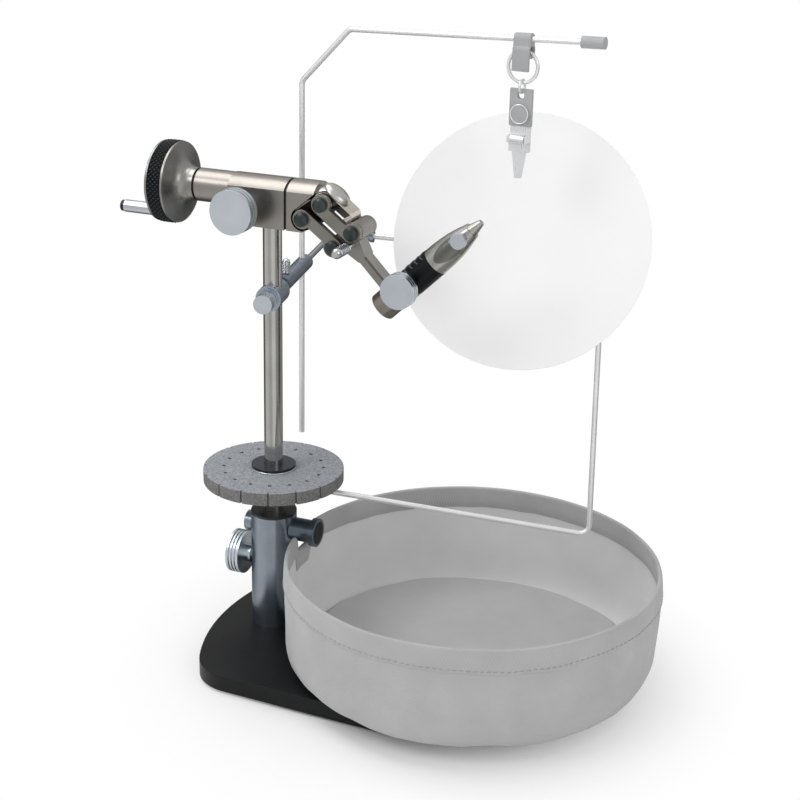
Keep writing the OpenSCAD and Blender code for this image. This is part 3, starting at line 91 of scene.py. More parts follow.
def add_node(
    tree: bpy.types.NodeTree, kind: str, sockets: dict | None = None, **settings: object
) -> bpy.types.Node:
    """Add one node with its settings, values and links.

    Args:
        tree: the material's or world's node tree.
        kind: the node's type name without its ShaderNode prefix.
        sockets: input name or number to a value, or to an output socket that feeds it.
        settings: attributes of the node itself.

    Returns:
        The new node.
    """
    node = tree.nodes.new("ShaderNode" + kind)
    for name, value in settings.items():
        setattr(node, name, value)
    for name, value in (sockets or {}).items():
        if isinstance(value, bpy.types.NodeSocket):
            tree.links.new(value, node.inputs[name])
        else:
            node.inputs[name].default_value = value
    return node


def new_material(name: str) -> tuple[bpy.types.Material, bpy.types.NodeTree, bpy.types.Node]:
    """Make an empty node material with its shader.

    Args:
        name: the finish's name.

    Returns:
        The material, its node tree and its Principled shader.
    """
    material = bpy.data.materials.new(name)
    material.use_nodes = True
    tree = material.node_tree
    tree.nodes.clear()
    shader = add_node(tree, "BsdfPrincipled")
    add_node(tree, "OutputMaterial", {"Surface": shader.outputs["BSDF"]})
    return material, tree, shader


def blended(
    tree: bpy.types.NodeTree, share: bpy.types.NodeSocket, low: str, high: str, span: tuple[float, float]
) -> bpy.types.NodeSocket:
    """Blend two colours by a value.

    Args:
        tree: the material's node tree.
        share: the value that moves the colour from low to high.
        low: sRGB hex value at and below the span's start.
        high: sRGB hex value at and above the span's end.
        span: where the blend starts and ends.

    Returns:
        The colour output.
    """
    ramp = add_node(tree, "ValToRGB", {"Fac": share})
    for element, place, code in zip(ramp.color_ramp.elements, span, (low, high)):
        element.position = place
        element.color = linear(code)
    return ramp.outputs["Color"]


def ranged(
    tree: bpy.types.NodeTree,
    value: bpy.types.NodeSocket,
    low: float = 0.0,
    high: float = 1.0,
    start: float = 0.0,
    end: float = 1.0,
) -> bpy.types.NodeSocket:
    """Spread a value over a range, and clamp it there.

    Args:
        tree: the material's node tree.
        value: the value to spread.
        low: the result at the start.
        high: the result at the end.
        start: the value that gives low.
        end: the value that gives high.

    Returns:
        The result's output.
    """
    limits = {"From Min": start, "From Max": end, "To Min": low, "To Max": high}
    return add_node(tree, "MapRange", {"Value": value, **limits}).outputs["Result"]


def math_node(tree: bpy.types.NodeTree, operation: str, *values: object) -> bpy.types.NodeSocket:
    """Work on numbers.

    Args:
        tree: the material's node tree.
        operation: the name of the node's operation.
        values: numbers, or outputs that give them.

    Returns:
        The result's output.
    """
    return add_node(tree, "Math", dict(enumerate(values)), operation=operation).outputs[0]


def vector_node(tree: bpy.types.NodeTree, operation: str, *values: object) -> bpy.types.NodeSocket:
    """Work on vectors.

    Args:
        tree: the material's node tree.
        operation: the name of the node's operation.
        values: vectors, or outputs that give them.

    Returns:
        The output that the operation fills: a number for a length or a dot product, else a vector.
    """
    node = add_node(tree, "VectorMath", dict(enumerate(values)), operation=operation)
    return node.outputs["Value" if operation in ("LENGTH", "DOT_PRODUCT") else "Vector"]


def choice(tree: bpy.types.NodeTree, share: object, low: object, high: object) -> bpy.types.NodeSocket:
    """Mix two numbers.

    Args:
        tree: the node tree.
        share: 0 for the first number and 1 for the second.
        low: the first number, or an output that gives it.
        high: the second number, or an output that gives it.

    Returns:
        The mixed number's output.
    """
    return add_node(tree, "Mix", {0: share, 2: low, 3: high}).outputs[0]


def object_place(tree: bpy.types.NodeTree) -> bpy.types.NodeSocket:
    """Give the place on the object, in metres.

    Args:
        tree: the material's node tree.

    Returns:
        The object coordinates' output.
    """
    return add_node(tree, "TexCoord").outputs["Object"]


def axis_distance(
    tree: bpy.types.NodeTree, centre: tuple[float, float, float], axis: Axis
) -> bpy.types.NodeSocket:
    """Measure the distance from a line.

    Args:
        tree: the material's node tree.
        centre: a point of the line, in metres.
        axis: the line's direction.

    Returns:
        The distance's output, in metres.
    """
    moved = vector_node(tree, "SUBTRACT", object_place(tree), centre)
    across = tuple(1.0 - abs(c) for c in axis.value)
    return vector_node(tree, "LENGTH", vector_node(tree, "MULTIPLY", moved, across))


def soft_noise(
    tree: bpy.types.NodeTree,
    size_mm: float,
    stretch: tuple[float, float, float] = (1, 1, 1),
    detail: float = 3.0,
) -> bpy.types.NodeSocket:
    """Make noise on object coordinates, with grains of a real size.

    Args:
        tree: the material's node tree.
        size_mm: the grain's size.
        stretch: how many grains fit in that size along each axis.
        detail: octaves of the noise.

    Returns:
        The noise value's output.
    """
    scaled = add_node(tree, "Mapping", {"Vector": object_place(tree), "Scale": stretch}).outputs["Vector"]
    grain = add_node(tree, "TexNoise", {"Vector": scaled, "Scale": 1 / (size_mm * MM), "Detail": detail})
    return grain.outputs["Fac"]


def lathe_rings(
    tree: bpy.types.NodeTree, centre: tuple[float, float, float], axis: Axis, pitch_mm: float
) -> bpy.types.NodeSocket:
    """Make fine rings around an axis, as a lathe tool leaves on a face.

    Args:
        tree: the material's node tree.
        centre: a point of the axis, in metres.
        axis: the axis that the rings run around.
        pitch_mm: the distance from ring to ring.

    Returns:
        The rings' height, 0 to 1.
    """
    pitch = pitch_mm * MM
    slow = {"Vector": object_place(tree), "Scale": 90.0, "Detail": 1.0}
    wobble = add_node(tree, "TexNoise", slow).outputs["Fac"]
    uneven = math_node(tree, "MULTIPLY_ADD", wobble, 0.3 * pitch, axis_distance(tree, centre, axis))
    wave = math_node(tree, "SINE", math_node(tree, "MULTIPLY", uneven, 2 * math.pi / pitch))
    return ranged(tree, wave, start=-1.0)


def relief(
    tree: bpy.types.NodeTree,
    shader: bpy.types.Node,
    height: bpy.types.NodeSocket | None,
    depth_mm: float,
    edge_mm: float,
) -> None:
    """Give a surface its relief and a small round on its edges.

    Args:
        tree: the material's node tree.
        shader: the Principled shader that gets the normal.
        height: the relief's height from 0 to 1, or None for round edges alone.
        depth_mm: the relief's depth.
        edge_mm: the radius of the round on the edges, or 0 for none.
    """
    normal = None
    if edge_mm:
        normal = add_node(tree, "Bevel", {"Radius": edge_mm * MM}, samples=4).outputs["Normal"]
    if height is not None:
        sockets = {"Height": height, "Distance": depth_mm * MM, "Strength": 1.0}
        if normal is not None:
            sockets["Normal"] = normal
        normal = add_node(tree, "Bump", sockets).outputs["Normal"]
    if normal is not None:
        tree.links.new(normal, shader.inputs["Normal"])


# Finishes


@dataclass(frozen=True)
class Metal:
    """A bare, plated or anodised metal: its colour, its gloss and the marks of how it was made."""

    name: str
    low: str
    high: str
    roughness: float
    shine: Shine
    metallic: float = 1.0
    grain_mm: float = 0.35
    depth_mm: float = 0.004
    edge_mm: float = 0.25
    grain_axis: Axis = Axis.X
    centre: tuple[float, float, float] = (0.0, 0.0, 0.0)

    def marks(self, tree: bpy.types.NodeTree) -> bpy.types.NodeSocket:
        """Make the fine marks of the finish.

        Args:
            tree: the material's node tree.

        Returns:
            The marks' height, 0 to 1.
        """
        if self.shine is Shine.TURNED:
            return lathe_rings(tree, self.centre, self.grain_axis, self.grain_mm)
        if self.shine is Shine.BRUSHED:
            stretch = tuple(0.06 if c else 1.0 for c in self.grain_axis.value)
            return soft_noise(tree, self.grain_mm, stretch)
        return soft_noise(tree, self.grain_mm)

    def build(self) -> bpy.types.Material:
        """Make the material.

        Returns:
            The node material.
        """
        material, tree, shader = new_material(self.name)
        marks = self.marks(tree)
        cloud = soft_noise(tree, CLOUD_MM, detail=2.0)
        shader.inputs["Metallic"].default_value = self.metallic
        tree.links.new(blended(tree, cloud, self.low, self.high, (0.3, 0.7)), shader.inputs["Base Color"])
        gloss = ranged(tree, marks, 0.75 * self.roughness, 1.25 * self.roughness)
        tree.links.new(gloss, shader.inputs["Roughness"])
        relief(tree, shader, marks, self.depth_mm, self.edge_mm)
        return material


@dataclass(frozen=True)
class Patched(Metal):
    """A metal that has another tone in one place: painted shade on a milled flat and in a recess, and a
    painted highlight on knurl tips.
    """

    tone: str = "#000000"
    mask: Callable[[bpy.types.NodeTree], bpy.types.NodeSocket] | None = None

    def build(self) -> bpy.types.Material:
        """Make the material.

        Returns:
            The node material.
        """
        material = super().build()
        tree = material.node_tree
        shader = next(n for n in tree.nodes if n.type == "BSDF_PRINCIPLED")
        plain = shader.inputs["Base Color"].links[0].from_socket
        colours = {"Fac": self.mask(tree), "Color1": plain, "Color2": linear(self.tone)}
        mixed = add_node(tree, "MixRGB", colours)
        tree.links.new(mixed.outputs["Color"], shader.inputs["Base Color"])
        return material


def flat_shade_mask(tree: bpy.types.NodeTree) -> bpy.types.NodeSocket:
    """Mark the oval flat on the near side of the jaws, around the hook size screw, which gets painted shade.

    Args:
        tree: the material's node tree.

    Returns:
        1 on the flat and 0 off it.
    """
    middle = (0.0999, 0.0, 0.23715)
    long_half, short_half = 10.5 * MM, 4.6 * MM
    place = object_place(tree)
    moved = vector_node(tree, "SUBTRACT", place, middle)
    turned = add_node(tree, "VectorRotate", {"Vector": moved, "Axis": (0.0, 1.0, 0.0), "Angle": JAW_TILT})
    scaled = vector_node(tree, "MULTIPLY", turned.outputs[0], (1 / long_half, 0.0, 1 / short_half))
    inside = ranged(tree, vector_node(tree, "LENGTH", scaled), 1.0, 0.0, 0.94, 1.02)
    depth = add_node(tree, "SeparateXYZ", {"Vector": place}).outputs["Y"]
    return math_node(tree, "MULTIPLY", inside, math_node(tree, "LESS_THAN", depth, -1 * MM))


def tip_highlight_mask(tree: bpy.types.NodeTree) -> bpy.types.NodeSocket:
    """Mark the tips of the hand wheel's knurl, which get a painted highlight.

    Args:
        tree: the material's node tree.

    Returns:
        1 on the tips and 0 below them.
    """
    root, tip = 21.35 * MM, 21.75 * MM
    return ranged(tree, axis_distance(tree, (0.0, 0.0, AXIS_HEIGHT), Axis.X), start=root, end=tip)


def recess_shade_mask(tree: bpy.types.NodeTree) -> bpy.types.NodeSocket:
    """Mark the middle of the block under its sloping face, between the link pairs, where painted shade goes.

    Args:
        tree: the material's node tree.

    Returns:
        1 between the links and 0 outside them.
    """
    half_gap = 7.2 * MM
    slope_foot, slope_normal = (27.0 * MM, 0.0, 255.0 * MM), (0.6, 0.0, -0.8)
    place = object_place(tree)
    across = add_node(tree, "SeparateXYZ", {"Vector": place}).outputs["Y"]
    inside = math_node(tree, "LESS_THAN", math_node(tree, "ABSOLUTE", across), half_gap)
    past = vector_node(tree, "DOT_PRODUCT", vector_node(tree, "SUBTRACT", place, slope_foot), slope_normal)
    return math_node(tree, "MULTIPLY", inside, math_node(tree, "GREATER_THAN", past, 0.0))


@dataclass(frozen=True)
class Painted:
    """Paint, powder coat, rubber or moulded plastic: a closed skin with a fine grain."""

    name: str
    low: str
    high: str
    roughness: float
    grain_mm: float
    depth_mm: float
    edge_mm: float = 0.3
    specular: float = 0.5

    def build(self) -> bpy.types.Material:
        """Make the material.

        Returns:
            The node material.
        """
        material, tree, shader = new_material(self.name)
        grain = soft_noise(tree, self.grain_mm)
        patches = soft_noise(tree, PATCH_MM, detail=2.0)
        shader.inputs["Specular IOR Level"].default_value = self.specular
        tree.links.new(blended(tree, patches, self.low, self.high, (0.3, 0.7)), shader.inputs["Base Color"])
        gloss = ranged(tree, grain, self.roughness - 0.06, self.roughness + 0.06)
        tree.links.new(gloss, shader.inputs["Roughness"])
        relief(tree, shader, grain, self.depth_mm, self.edge_mm)
        return material


@dataclass(frozen=True)
class Foam:
    """Closed-cell foam, cut with a blade: dull, with small cells that show as a fine speckle."""

    name: str
    low: str
    high: str
    cell_mm: float = 0.9
    depth_mm: float = 0.12

    def build(self) -> bpy.types.Material:
        """Make the material.

        Returns:
            The node material.
        """
        material, tree, shader = new_material(self.name)
        cell = add_node(tree, "TexVoronoi", {"Vector": object_place(tree), "Scale": 1 / (self.cell_mm * MM)})
        mixed = math_node(tree, "MULTIPLY", cell.outputs["Distance"], soft_noise(tree, 1.6, detail=4.0))
        tree.links.new(blended(tree, mixed, self.low, self.high, (0.05, 0.4)), shader.inputs["Base Color"])
        shader.inputs["Roughness"].default_value = 0.92
        shader.inputs["Specular IOR Level"].default_value = 0.25
        relief(tree, shader, mixed, self.depth_mm, 0.0)
        return material


@dataclass(frozen=True)
class Cloth:
    """Plain woven nylon: threads cross over and under at a set spacing along the piece's own UV map."""

    name: str
    low: str
    high: str
    thread_mm: float
    depth_mm: float = 0.05
    roughness: float = 0.85

    def build(self) -> bpy.types.Material:
        """Make the material.

        Returns:
            The node material.
        """
        material, tree, shader = new_material(self.name)
        uv = add_node(tree, "TexCoord").outputs["UV"]
        parts = add_node(tree, "SeparateXYZ", {"Vector": uv})
        turn = math.pi / (self.thread_mm * MM)
        turns = [math_node(tree, "MULTIPLY", parts.outputs[way], turn) for way in ("X", "Y")]
        warp, weft = (math_node(tree, "SINE", value) for value in turns)
        weave = ranged(tree, math_node(tree, "MULTIPLY", warp, weft), start=-1.0)
        slub = soft_noise(tree, 2.2)
        patches = soft_noise(tree, 24.0, detail=2.0)
        tone = math_node(tree, "MULTIPLY_ADD", weave, 0.35, patches)
        tree.links.new(blended(tree, tone, self.low, self.high, (0.35, 0.95)), shader.inputs["Base Color"])
        height = math_node(tree, "MULTIPLY_ADD", slub, 0.6, weave)
        shader.inputs["Roughness"].default_value = self.roughness
        shader.inputs["Specular IOR Level"].default_value = 0.2
        shader.inputs["Sheen Weight"].default_value = 0.15
        relief(tree, shader, height, self.depth_mm, 0.0)
        return material


Finish = Metal | Painted | Foam | Cloth
_materials: dict[str, bpy.types.Material] = {}


def material_for(finish: Finish) -> bpy.types.Material:
    """Build a finish once and hand out the same material after that.

    Args:
        finish: the finish.

    Returns:
        Its material.
    """
    if finish.name not in _materials:
        _materials[finish.name] = finish.build()
    return _materials[finish.name]


# Mesh helpers


def deselect() -> None:
    """Leave edit mode and select nothing."""
    if bpy.context.object and bpy.context.object.mode != "OBJECT":
        bpy.ops.object.mode_set(mode="OBJECT")
    bpy.ops.object.select_all(action="DESELECT")


def activate(piece: bpy.types.Object) -> None:
    """Select one object alone and make it the active one.

    Args:
        piece: the object.
    """
    deselect()
    piece.select_set(True)
    bpy.context.view_layer.objects.active = piece


def apply_place(piece: bpy.types.Object) -> None:
    """Put a piece's place, turn and size into its mesh.

    Args:
        piece: the finished object.
    """
    activate(piece)
    bpy.ops.object.transform_apply(location=True, rotation=True, scale=True)


def primitive(operator: Callable[..., object], **settings: object) -> bpy.types.Object:
    """Add a primitive in its place, with that place in its mesh.

    Args:
        operator: the operator that adds it.
        settings: the operator's values.

    Returns:
        The new object, at the origin.
    """
    deselect()
    operator(**settings)
    piece = bpy.context.object
    apply_place(piece)
    return piece


def object_from(mesh: bmesh.types.BMesh, name: str) -> bpy.types.Object:
    """Turn a bmesh to an object of the scene.

    Args:
        mesh: the mesh, which is freed.
        name: the object's name.

    Returns:
        The new object.
    """
    data = bpy.data.meshes.new(name)
    mesh.to_mesh(data)
    mesh.free()
    piece = bpy.data.objects.new(name, data)
    bpy.context.scene.collection.objects.link(piece)
    return piece


def weld(piece: bpy.types.Object) -> None:
    """Join points that lie on each other and turn every face outwards.

    Args:
        piece: the object.
    """
    activate(piece)
    bpy.ops.object.mode_set(mode="EDIT")
    bpy.ops.mesh.select_all(action="SELECT")
    bpy.ops.mesh.remove_doubles(threshold=WELD)
    bpy.ops.mesh.normals_make_consistent(inside=False)
    bpy.ops.object.mode_set(mode="OBJECT")


def modify(piece: bpy.types.Object, kind: str, **settings: object) -> None:
    """Add a modifier and apply it.

    Args:
        piece: the object that is changed.
        kind: the modifier's type.
        settings: the modifier's values.
    """
    activate(piece)
    modifier = piece.modifiers.new(kind.title(), kind)
    for name, value in settings.items():
        setattr(modifier, name, value)
    bpy.ops.object.modifier_apply(modifier=modifier.name)


def finish_piece(
    piece: bpy.types.Object, name: str, finish: Finish, body: str, smooth: float = 35.0
) -> bpy.types.Object:
    """Name, dress and mount a finished piece.

    Args:
        piece: the object.
        name: its name.
        finish: its finish.
        body: the CAD body that it rides on.
        smooth: the sharpest edge that is shaded smooth, in degrees.

    Returns:
        The same object.
    """
    piece.name = name
    piece.data.name = name
    piece.data.materials.clear()
    piece.data.materials.append(material_for(finish))
    activate(piece)
    bpy.ops.object.shade_smooth_by_angle(angle=math.radians(smooth))
    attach(piece, body)
    log.info("%s: %d faces on %s", name, len(piece.data.polygons), body)
    return piece


def dress_node(node: str, material: bpy.types.Material) -> None:
    """Give a CAD node its finish.

    Args:
        node: the CAD node's name.
        material: the finish.
    """
    mesh_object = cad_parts[node]
    if mesh_object.material_slots:
        for place in mesh_object.material_slots:
            place.material = material
    else:
        mesh_object.data.materials.append(material)


def bent_tube(points: list[Vector], radius: float, bend: float, turns: int = 10) -> bpy.types.Object:
    """Make a round wire that runs through points, with a round bend at each sharp corner.

    Args:
        points: the wire's ends and corners, in metres.
        radius: the wire's radius.
        bend: the radius of its bends.
        turns: how many short runs make a bend.

    Returns:
        The wire as a mesh object, with closed ends.
    """
    path = [points[0]]
    for before, corner, after in zip(points, points[1:], points[2:]):
        into, out = (corner - before).normalized(), (after - corner).normalized()
        angle = into.angle(out)
        if angle < math.radians(25):
            path.append(corner)
            continue
        centre = corner + (out - into).normalized() * bend / math.cos(angle / 2)
        start = corner - into * bend * math.tan(angle / 2) - centre
        axis = into.cross(out).normalized()
        path += [centre + Matrix.Rotation(angle * k / turns, 3, axis) @ start for k in range(turns + 1)]
    path.append(points[-1])
    curve = bpy.data.curves.new("wire", "CURVE")
    curve.dimensions = "3D"
    curve.bevel_depth = radius
    curve.bevel_resolution = 6
    curve.use_fill_caps = True
    spline = curve.splines.new("POLY")
    spline.points.add(len(path) - 1)
    for spot, place in zip(spline.points, path):
        spot.co = (*place, 1.0)
    piece = bpy.data.objects.new("wire", curve)
    bpy.context.scene.collection.objects.link(piece)
    activate(piece)
    bpy.ops.object.convert(target="MESH")
    piece = bpy.context.object
    weld(piece)
    return piece


def spun(profile: list[tuple[float, float]], centre: Vector, steps: int = 96) -> bpy.types.Object:
    """Spin a closed profile around a line along X.

    Args:
        profile: places along X and radii, in metres, in order around the profile.
        centre: a point of the line.
        steps: how many faces make a full turn.

    Returns:
        The turned piece.
    """
    mesh = bmesh.new()
    points = [mesh.verts.new((x, centre.y, centre.z + radius)) for x, radius in profile]
    for here, following in zip(points, [*points[1:], points[0]]):
        mesh.edges.new((here, following))
    piece = object_from(mesh, "spun")
    activate(piece)
    bpy.ops.object.mode_set(mode="EDIT")
    bpy.ops.mesh.select_all(action="SELECT")
    bpy.ops.mesh.spin(steps=steps, angle=2 * math.pi, center=tuple(centre), axis=(1, 0, 0))
    bpy.ops.object.mode_set(mode="OBJECT")
    weld(piece)
    return piece


# Finishes that several sub-assemblies share

# Powder coat on the foot: a fine pebbled black that stays dark and dulls the highlight on its edge.
POWDER_COAT = Painted(
    "powder_coated_steel", "#0d0e10", "#131416", 0.42, 0.5, 0.012, edge_mm=0.9, specular=0.22
)
# Nitrile rubber under the foot: flat black with hardly a highlight. The same black is the painted shade on
# the stud's end.
PAD_RUBBER = Painted("moulded_nitrile_pad", "#141414", "#191919", 0.8, 0.8, 0.02)
# Moulded acetal of the bushes: a smooth black with a soft sheen.
BLACK_PLASTIC = Painted("moulded_acetal", "#131416", "#191a1c", 0.38, 0.3, 0.004)
# Nylon brake pad: a warm white that tells it from the metal around it.
PALE_PLASTIC = Painted("turned_nylon_pad", "#d9d5cb", "#e2ded4", 0.5, 0.3, 0.004)
# Zinc plate on the bolt: a cool bright grey with a fine grain.
ZINC_STEEL = Metal("zinc_plated_steel", "#8f9296", "#a1a4a8", 0.3, Shine.BLASTED)
# Black oxide on the small steel pieces: dark metal with a clear highlight.
BLACK_STEEL = Metal("black_oxide_steel", "#2b2d31", "#35383c", 0.3, Shine.BLASTED, metallic=0.85)
# Blue-grey anodising on the post: upright streaks of white and grey from the turned surface.
BLUE_ANODISED = Metal(
    "blue_grey_anodised_aluminium",
    "#8a929b",
    "#959da6",
    0.3,
    Shine.TURNED,
    grain_axis=Axis.Z,
    metallic=0.95,
)
# The post's blue-grey anodising, painted darker on the stud as painted shade: deep slate with rings on its
# flange.
SHADED_STUD_ANODISING = Metal(
    "stud_anodising_painted_shade",
    "#5a646d",
    "#67717a",
    0.28,
    Shine.TURNED,
    metallic=0.85,
    centre=(0, 0, STUD_HEIGHT),
)
# Ground and polished rod: sharp upright reflections, light in front and dark at the sides.
POLISHED_STEEL = Metal(
    "ground_and_polished_steel", "#aaa9a5", "#b4b3af", 0.1, Shine.TURNED, grain_axis=Axis.Z, depth_mm=0.001
)
# Bead-blasted nickel of the head: a warm satin grey with soft broad highlights.
SATIN_NICKEL = Metal("bead_blasted_nickel", "#928d87", "#9d9892", 0.33, Shine.BLASTED, depth_mm=0.006)
# Turned aluminium of the hand wheel: rings around its axis on a mid grey.
WHEEL_ALUMINIUM = Metal(
    "turned_aluminium_wheel",
    "#8d8c89",
    "#989794",
    0.34,
    Shine.TURNED,
    centre=(0, 0, AXIS_HEIGHT),
    grain_mm=0.5,
)
# Blackened heads of the pins: small dark discs with a dull shine against the grey links.
PIN_HEADS = Metal("blackened_pin_heads", "#363c3d", "#414748", 0.3, Shine.BLASTED, metallic=0.8)
# Tumbled steel of the links: warm grey with soft edges that catch the light.
LINK_STEEL = Metal(
    "tumbled_steel_links", "#86837d", "#928f89", 0.36, Shine.BLASTED, depth_mm=0.008, edge_mm=0.4
)
# Drawn wire of the gallows, frame and rings: pale and washed out, as the photograph shows it.
BRIGHT_WIRE = Metal(
    "drawn_stainless_wire",
    "#ececed",
    "#f4f4f5",
    0.3,
    Shine.BLASTED,
    metallic=0.55,
    depth_mm=0.002,
    edge_mm=0.0,
)
# Pressed steel of the clip: pale, with upright brush marks.
CLIP_STEEL = Metal(
    "pressed_clip_steel", "#e6e7e8", "#eff0f1", 0.3, Shine.BRUSHED, grain_axis=Axis.Z, metallic=0.5
)


# Sub-assemblies


@dataclass
class Assembly:
    """A sub-assembly: the finishes of its CAD nodes, and whatever pieces it adds."""

    name: str = "assembly"
    finishes: dict[str, Finish] = field(default_factory=dict)

    def dress(self) -> None:
        """Give every CAD node of the sub-assembly its finish."""
        for node, finish in self.finishes.items():
            dress_node(node, material_for(finish))
            log.info("%s: %s in %s", self.name, node, finish.name)

    def build(self) -> None:
        """Build the pieces that the CAD leaves plain."""


def turned_knob(name: str, centre: tuple[float, float, float], axis: Axis) -> Metal:
    """Give a knob its clear anodised finish: pale blue-grey, with tool rings around its own axis.

    Args:
        name: what the knob does.
        centre: a point of its axis, in millimetres.
        axis: the direction of its axis.

    Returns:
        The finish.
    """
    place = tuple(c * MM for c in centre)
    return Metal(
        f"clear_anodised_{name}",
        "#c6cdd3",
        "#d0d7dd",
        0.3,
        Shine.TURNED,
        grain_axis=axis,
        centre=place,
        grain_mm=0.4,
    )


@dataclass
class Pedestal(Assembly):
    """The weighted foot, its socket post and the screw that clamps the stem."""

    name: str = "pedestal"
    finishes: dict = field(
        default_factory=lambda: {
            "base_plate": POWDER_COAT,
            "base_pad": PAD_RUBBER,
            "base_bolt": ZINC_STEEL,
            "socket_post": BLUE_ANODISED,
            "bin_stud": SHADED_STUD_ANODISING,
            "post_plug": BLUE_ANODISED,
            "clamp_knob": turned_knob("stem_screw", (-19.7, 0, 47.6), Axis.X),
            "socket_sleeve": BLACK_PLASTIC,
        }
    )
    shade_disc_radius: float = 6.1 * MM
    shade_disc_depth: float = 0.3 * MM
    shade_disc_middle: float = 26.45 * MM

    def build(self) -> None:
        """Set a thin black disc into the end of the stud, as painted shade on its end face."""
        piece = primitive(
            bpy.ops.mesh.primitive_cylinder_add,
            vertices=64,
            radius=self.shade_disc_radius,
            depth=self.shade_disc_depth,
            location=(self.shade_disc_middle, 0, STUD_HEIGHT),
            rotation=(0, math.pi / 2, 0),
        )
        finish_piece(piece, "stud_end_painted_shade", PAD_RUBBER, "pedestal")


@dataclass
class Column(Assembly):
    """The stem with the head that holds the rotor's shaft."""

    name: str = "column"
    finishes: dict = field(
        default_factory=lambda: {
            "stem": POLISHED_STEEL,
            "support_collar": BLACK_STEEL,
            "grub_screws": BLACK_STEEL,
            "head_housing": SATIN_NICKEL,
            "shaft_bushes": BLACK_PLASTIC,
            "tension_pad": PALE_PLASTIC,
            "tension_knob": turned_knob("tension_screw", (-10, 0, 247.4), Axis.Y),
        }
    )


@dataclass
class ToolDisc(Assembly):
    """The foam disc that holds tools, on its turned hub."""

    name: str = "tool disc"
    radius: float = 38 * MM
    low: float = 95 * MM
    high: float = 102 * MM
    bore: float = 7.3 * MM
    ring: float = 27 * MM
    hole: float = 1.0 * MM
    count: int = 16
    phase: float = -68.0
    slit_depth: float = 1.5 * MM
    slit_width: float = 0.8 * MM
    soft_edge: float = 0.35 * MM
    flange_radius: float = 11.85 * MM
    line_radius: float = 0.3 * MM
    # Painted highlight of the flange's bevel: a thin white ring around the dark hub.
    rim_highlight: Metal = Metal("bevel_painted_highlight", "#e6e8ea", "#f0f2f4", 0.22, Shine.BLASTED, edge_mm=0.0)
    finishes: dict = field(
        default_factory=lambda: {
            # Black anodising: a dark ringed hub that mirrors a little of the stem.
            "disc_hub": Metal(
                "black_anodised_hub",
                "#3c4147",
                "#474c53",
                0.24,
                Shine.TURNED,
                grain_axis=Axis.Z,
                metallic=0.9,
                edge_mm=0.5,
            ),
            "disc_washer": BLACK_PLASTIC,
        }
    )
    # Moulded skin of the foam: mid grey with a fine light speckle.
    foam: Foam = Foam("closed_cell_eva_foam", "#7a7d82", "#a9acb2", cell_mm=0.6)
    # Sawn rim of the foam: darker, because its open cells hold shadow.
    cut_foam: Foam = Foam("sawn_foam_rim", "#605f5f", "#858483", cell_mm=0.6)

    def build(self) -> None:
        """Make the foam disc and the thin white ring of painted highlight around the hub's flange."""
        self.build_foam()
        piece = primitive(
            bpy.ops.mesh.primitive_torus_add,
            major_radius=self.flange_radius,
            minor_radius=self.line_radius,
            major_segments=96,
            minor_segments=10,
            location=(0, 0, self.high + self.line_radius),
        )
        finish_piece(piece, "hub_rim_line", self.rim_highlight, "tool_disc", 60)

    def build_foam(self) -> None:
        """Cut the foam disc: bore, tool holes and short slits in the rim, with soft edges."""
        half = (self.high - self.low) / 2
        middle = self.low + half
        piece = primitive(
            bpy.ops.mesh.primitive_cylinder_add,
            vertices=192,
            radius=self.radius,
            depth=2 * half,
            location=(0, 0, middle),
        )
        cutters = []
        deselect()
        bpy.ops.mesh.primitive_cylinder_add(
            vertices=64, radius=self.bore, depth=4 * half, location=(0, 0, middle)
        )
        cutters.append(bpy.context.object)
        for number in range(self.count):
            turn = math.radians(self.phase + number * 360 / self.count)
            way = Vector((math.cos(turn), math.sin(turn), 0))
            place = way * self.ring + Vector((0, 0, middle))
            bpy.ops.mesh.primitive_cylinder_add(vertices=20, radius=self.hole, depth=4 * half, location=place)
            cutters.append(bpy.context.object)
            place = way * self.radius + Vector((0, 0, middle))
            size = (2 * self.slit_depth, self.slit_width, 4 * half)
            bpy.ops.mesh.primitive_cube_add(size=1.0, location=place, rotation=(0, 0, turn), scale=size)
            cutters.append(bpy.context.object)
        deselect()
        for cutter in cutters:
            cutter.select_set(True)
        bpy.context.view_layer.objects.active = cutters[0]
        bpy.ops.object.join()
        modify(piece, "BOOLEAN", object=cutters[0], operation="DIFFERENCE", solver="EXACT")
        bpy.data.objects.remove(cutters[0])
        modify(
            piece,
            "BEVEL",
            width=self.soft_edge,
            segments=2,
            limit_method="ANGLE",
            angle_limit=math.radians(60),
            use_clamp_overlap=True,
        )
        finish_piece(piece, "foam_disc", self.foam, "tool_disc", 50)
        piece.data.materials.append(material_for(self.cut_foam))
        for face in piece.data.polygons:
            face.material_index = int(abs(face.normal.z) < 0.5)
        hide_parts("tool_foam")


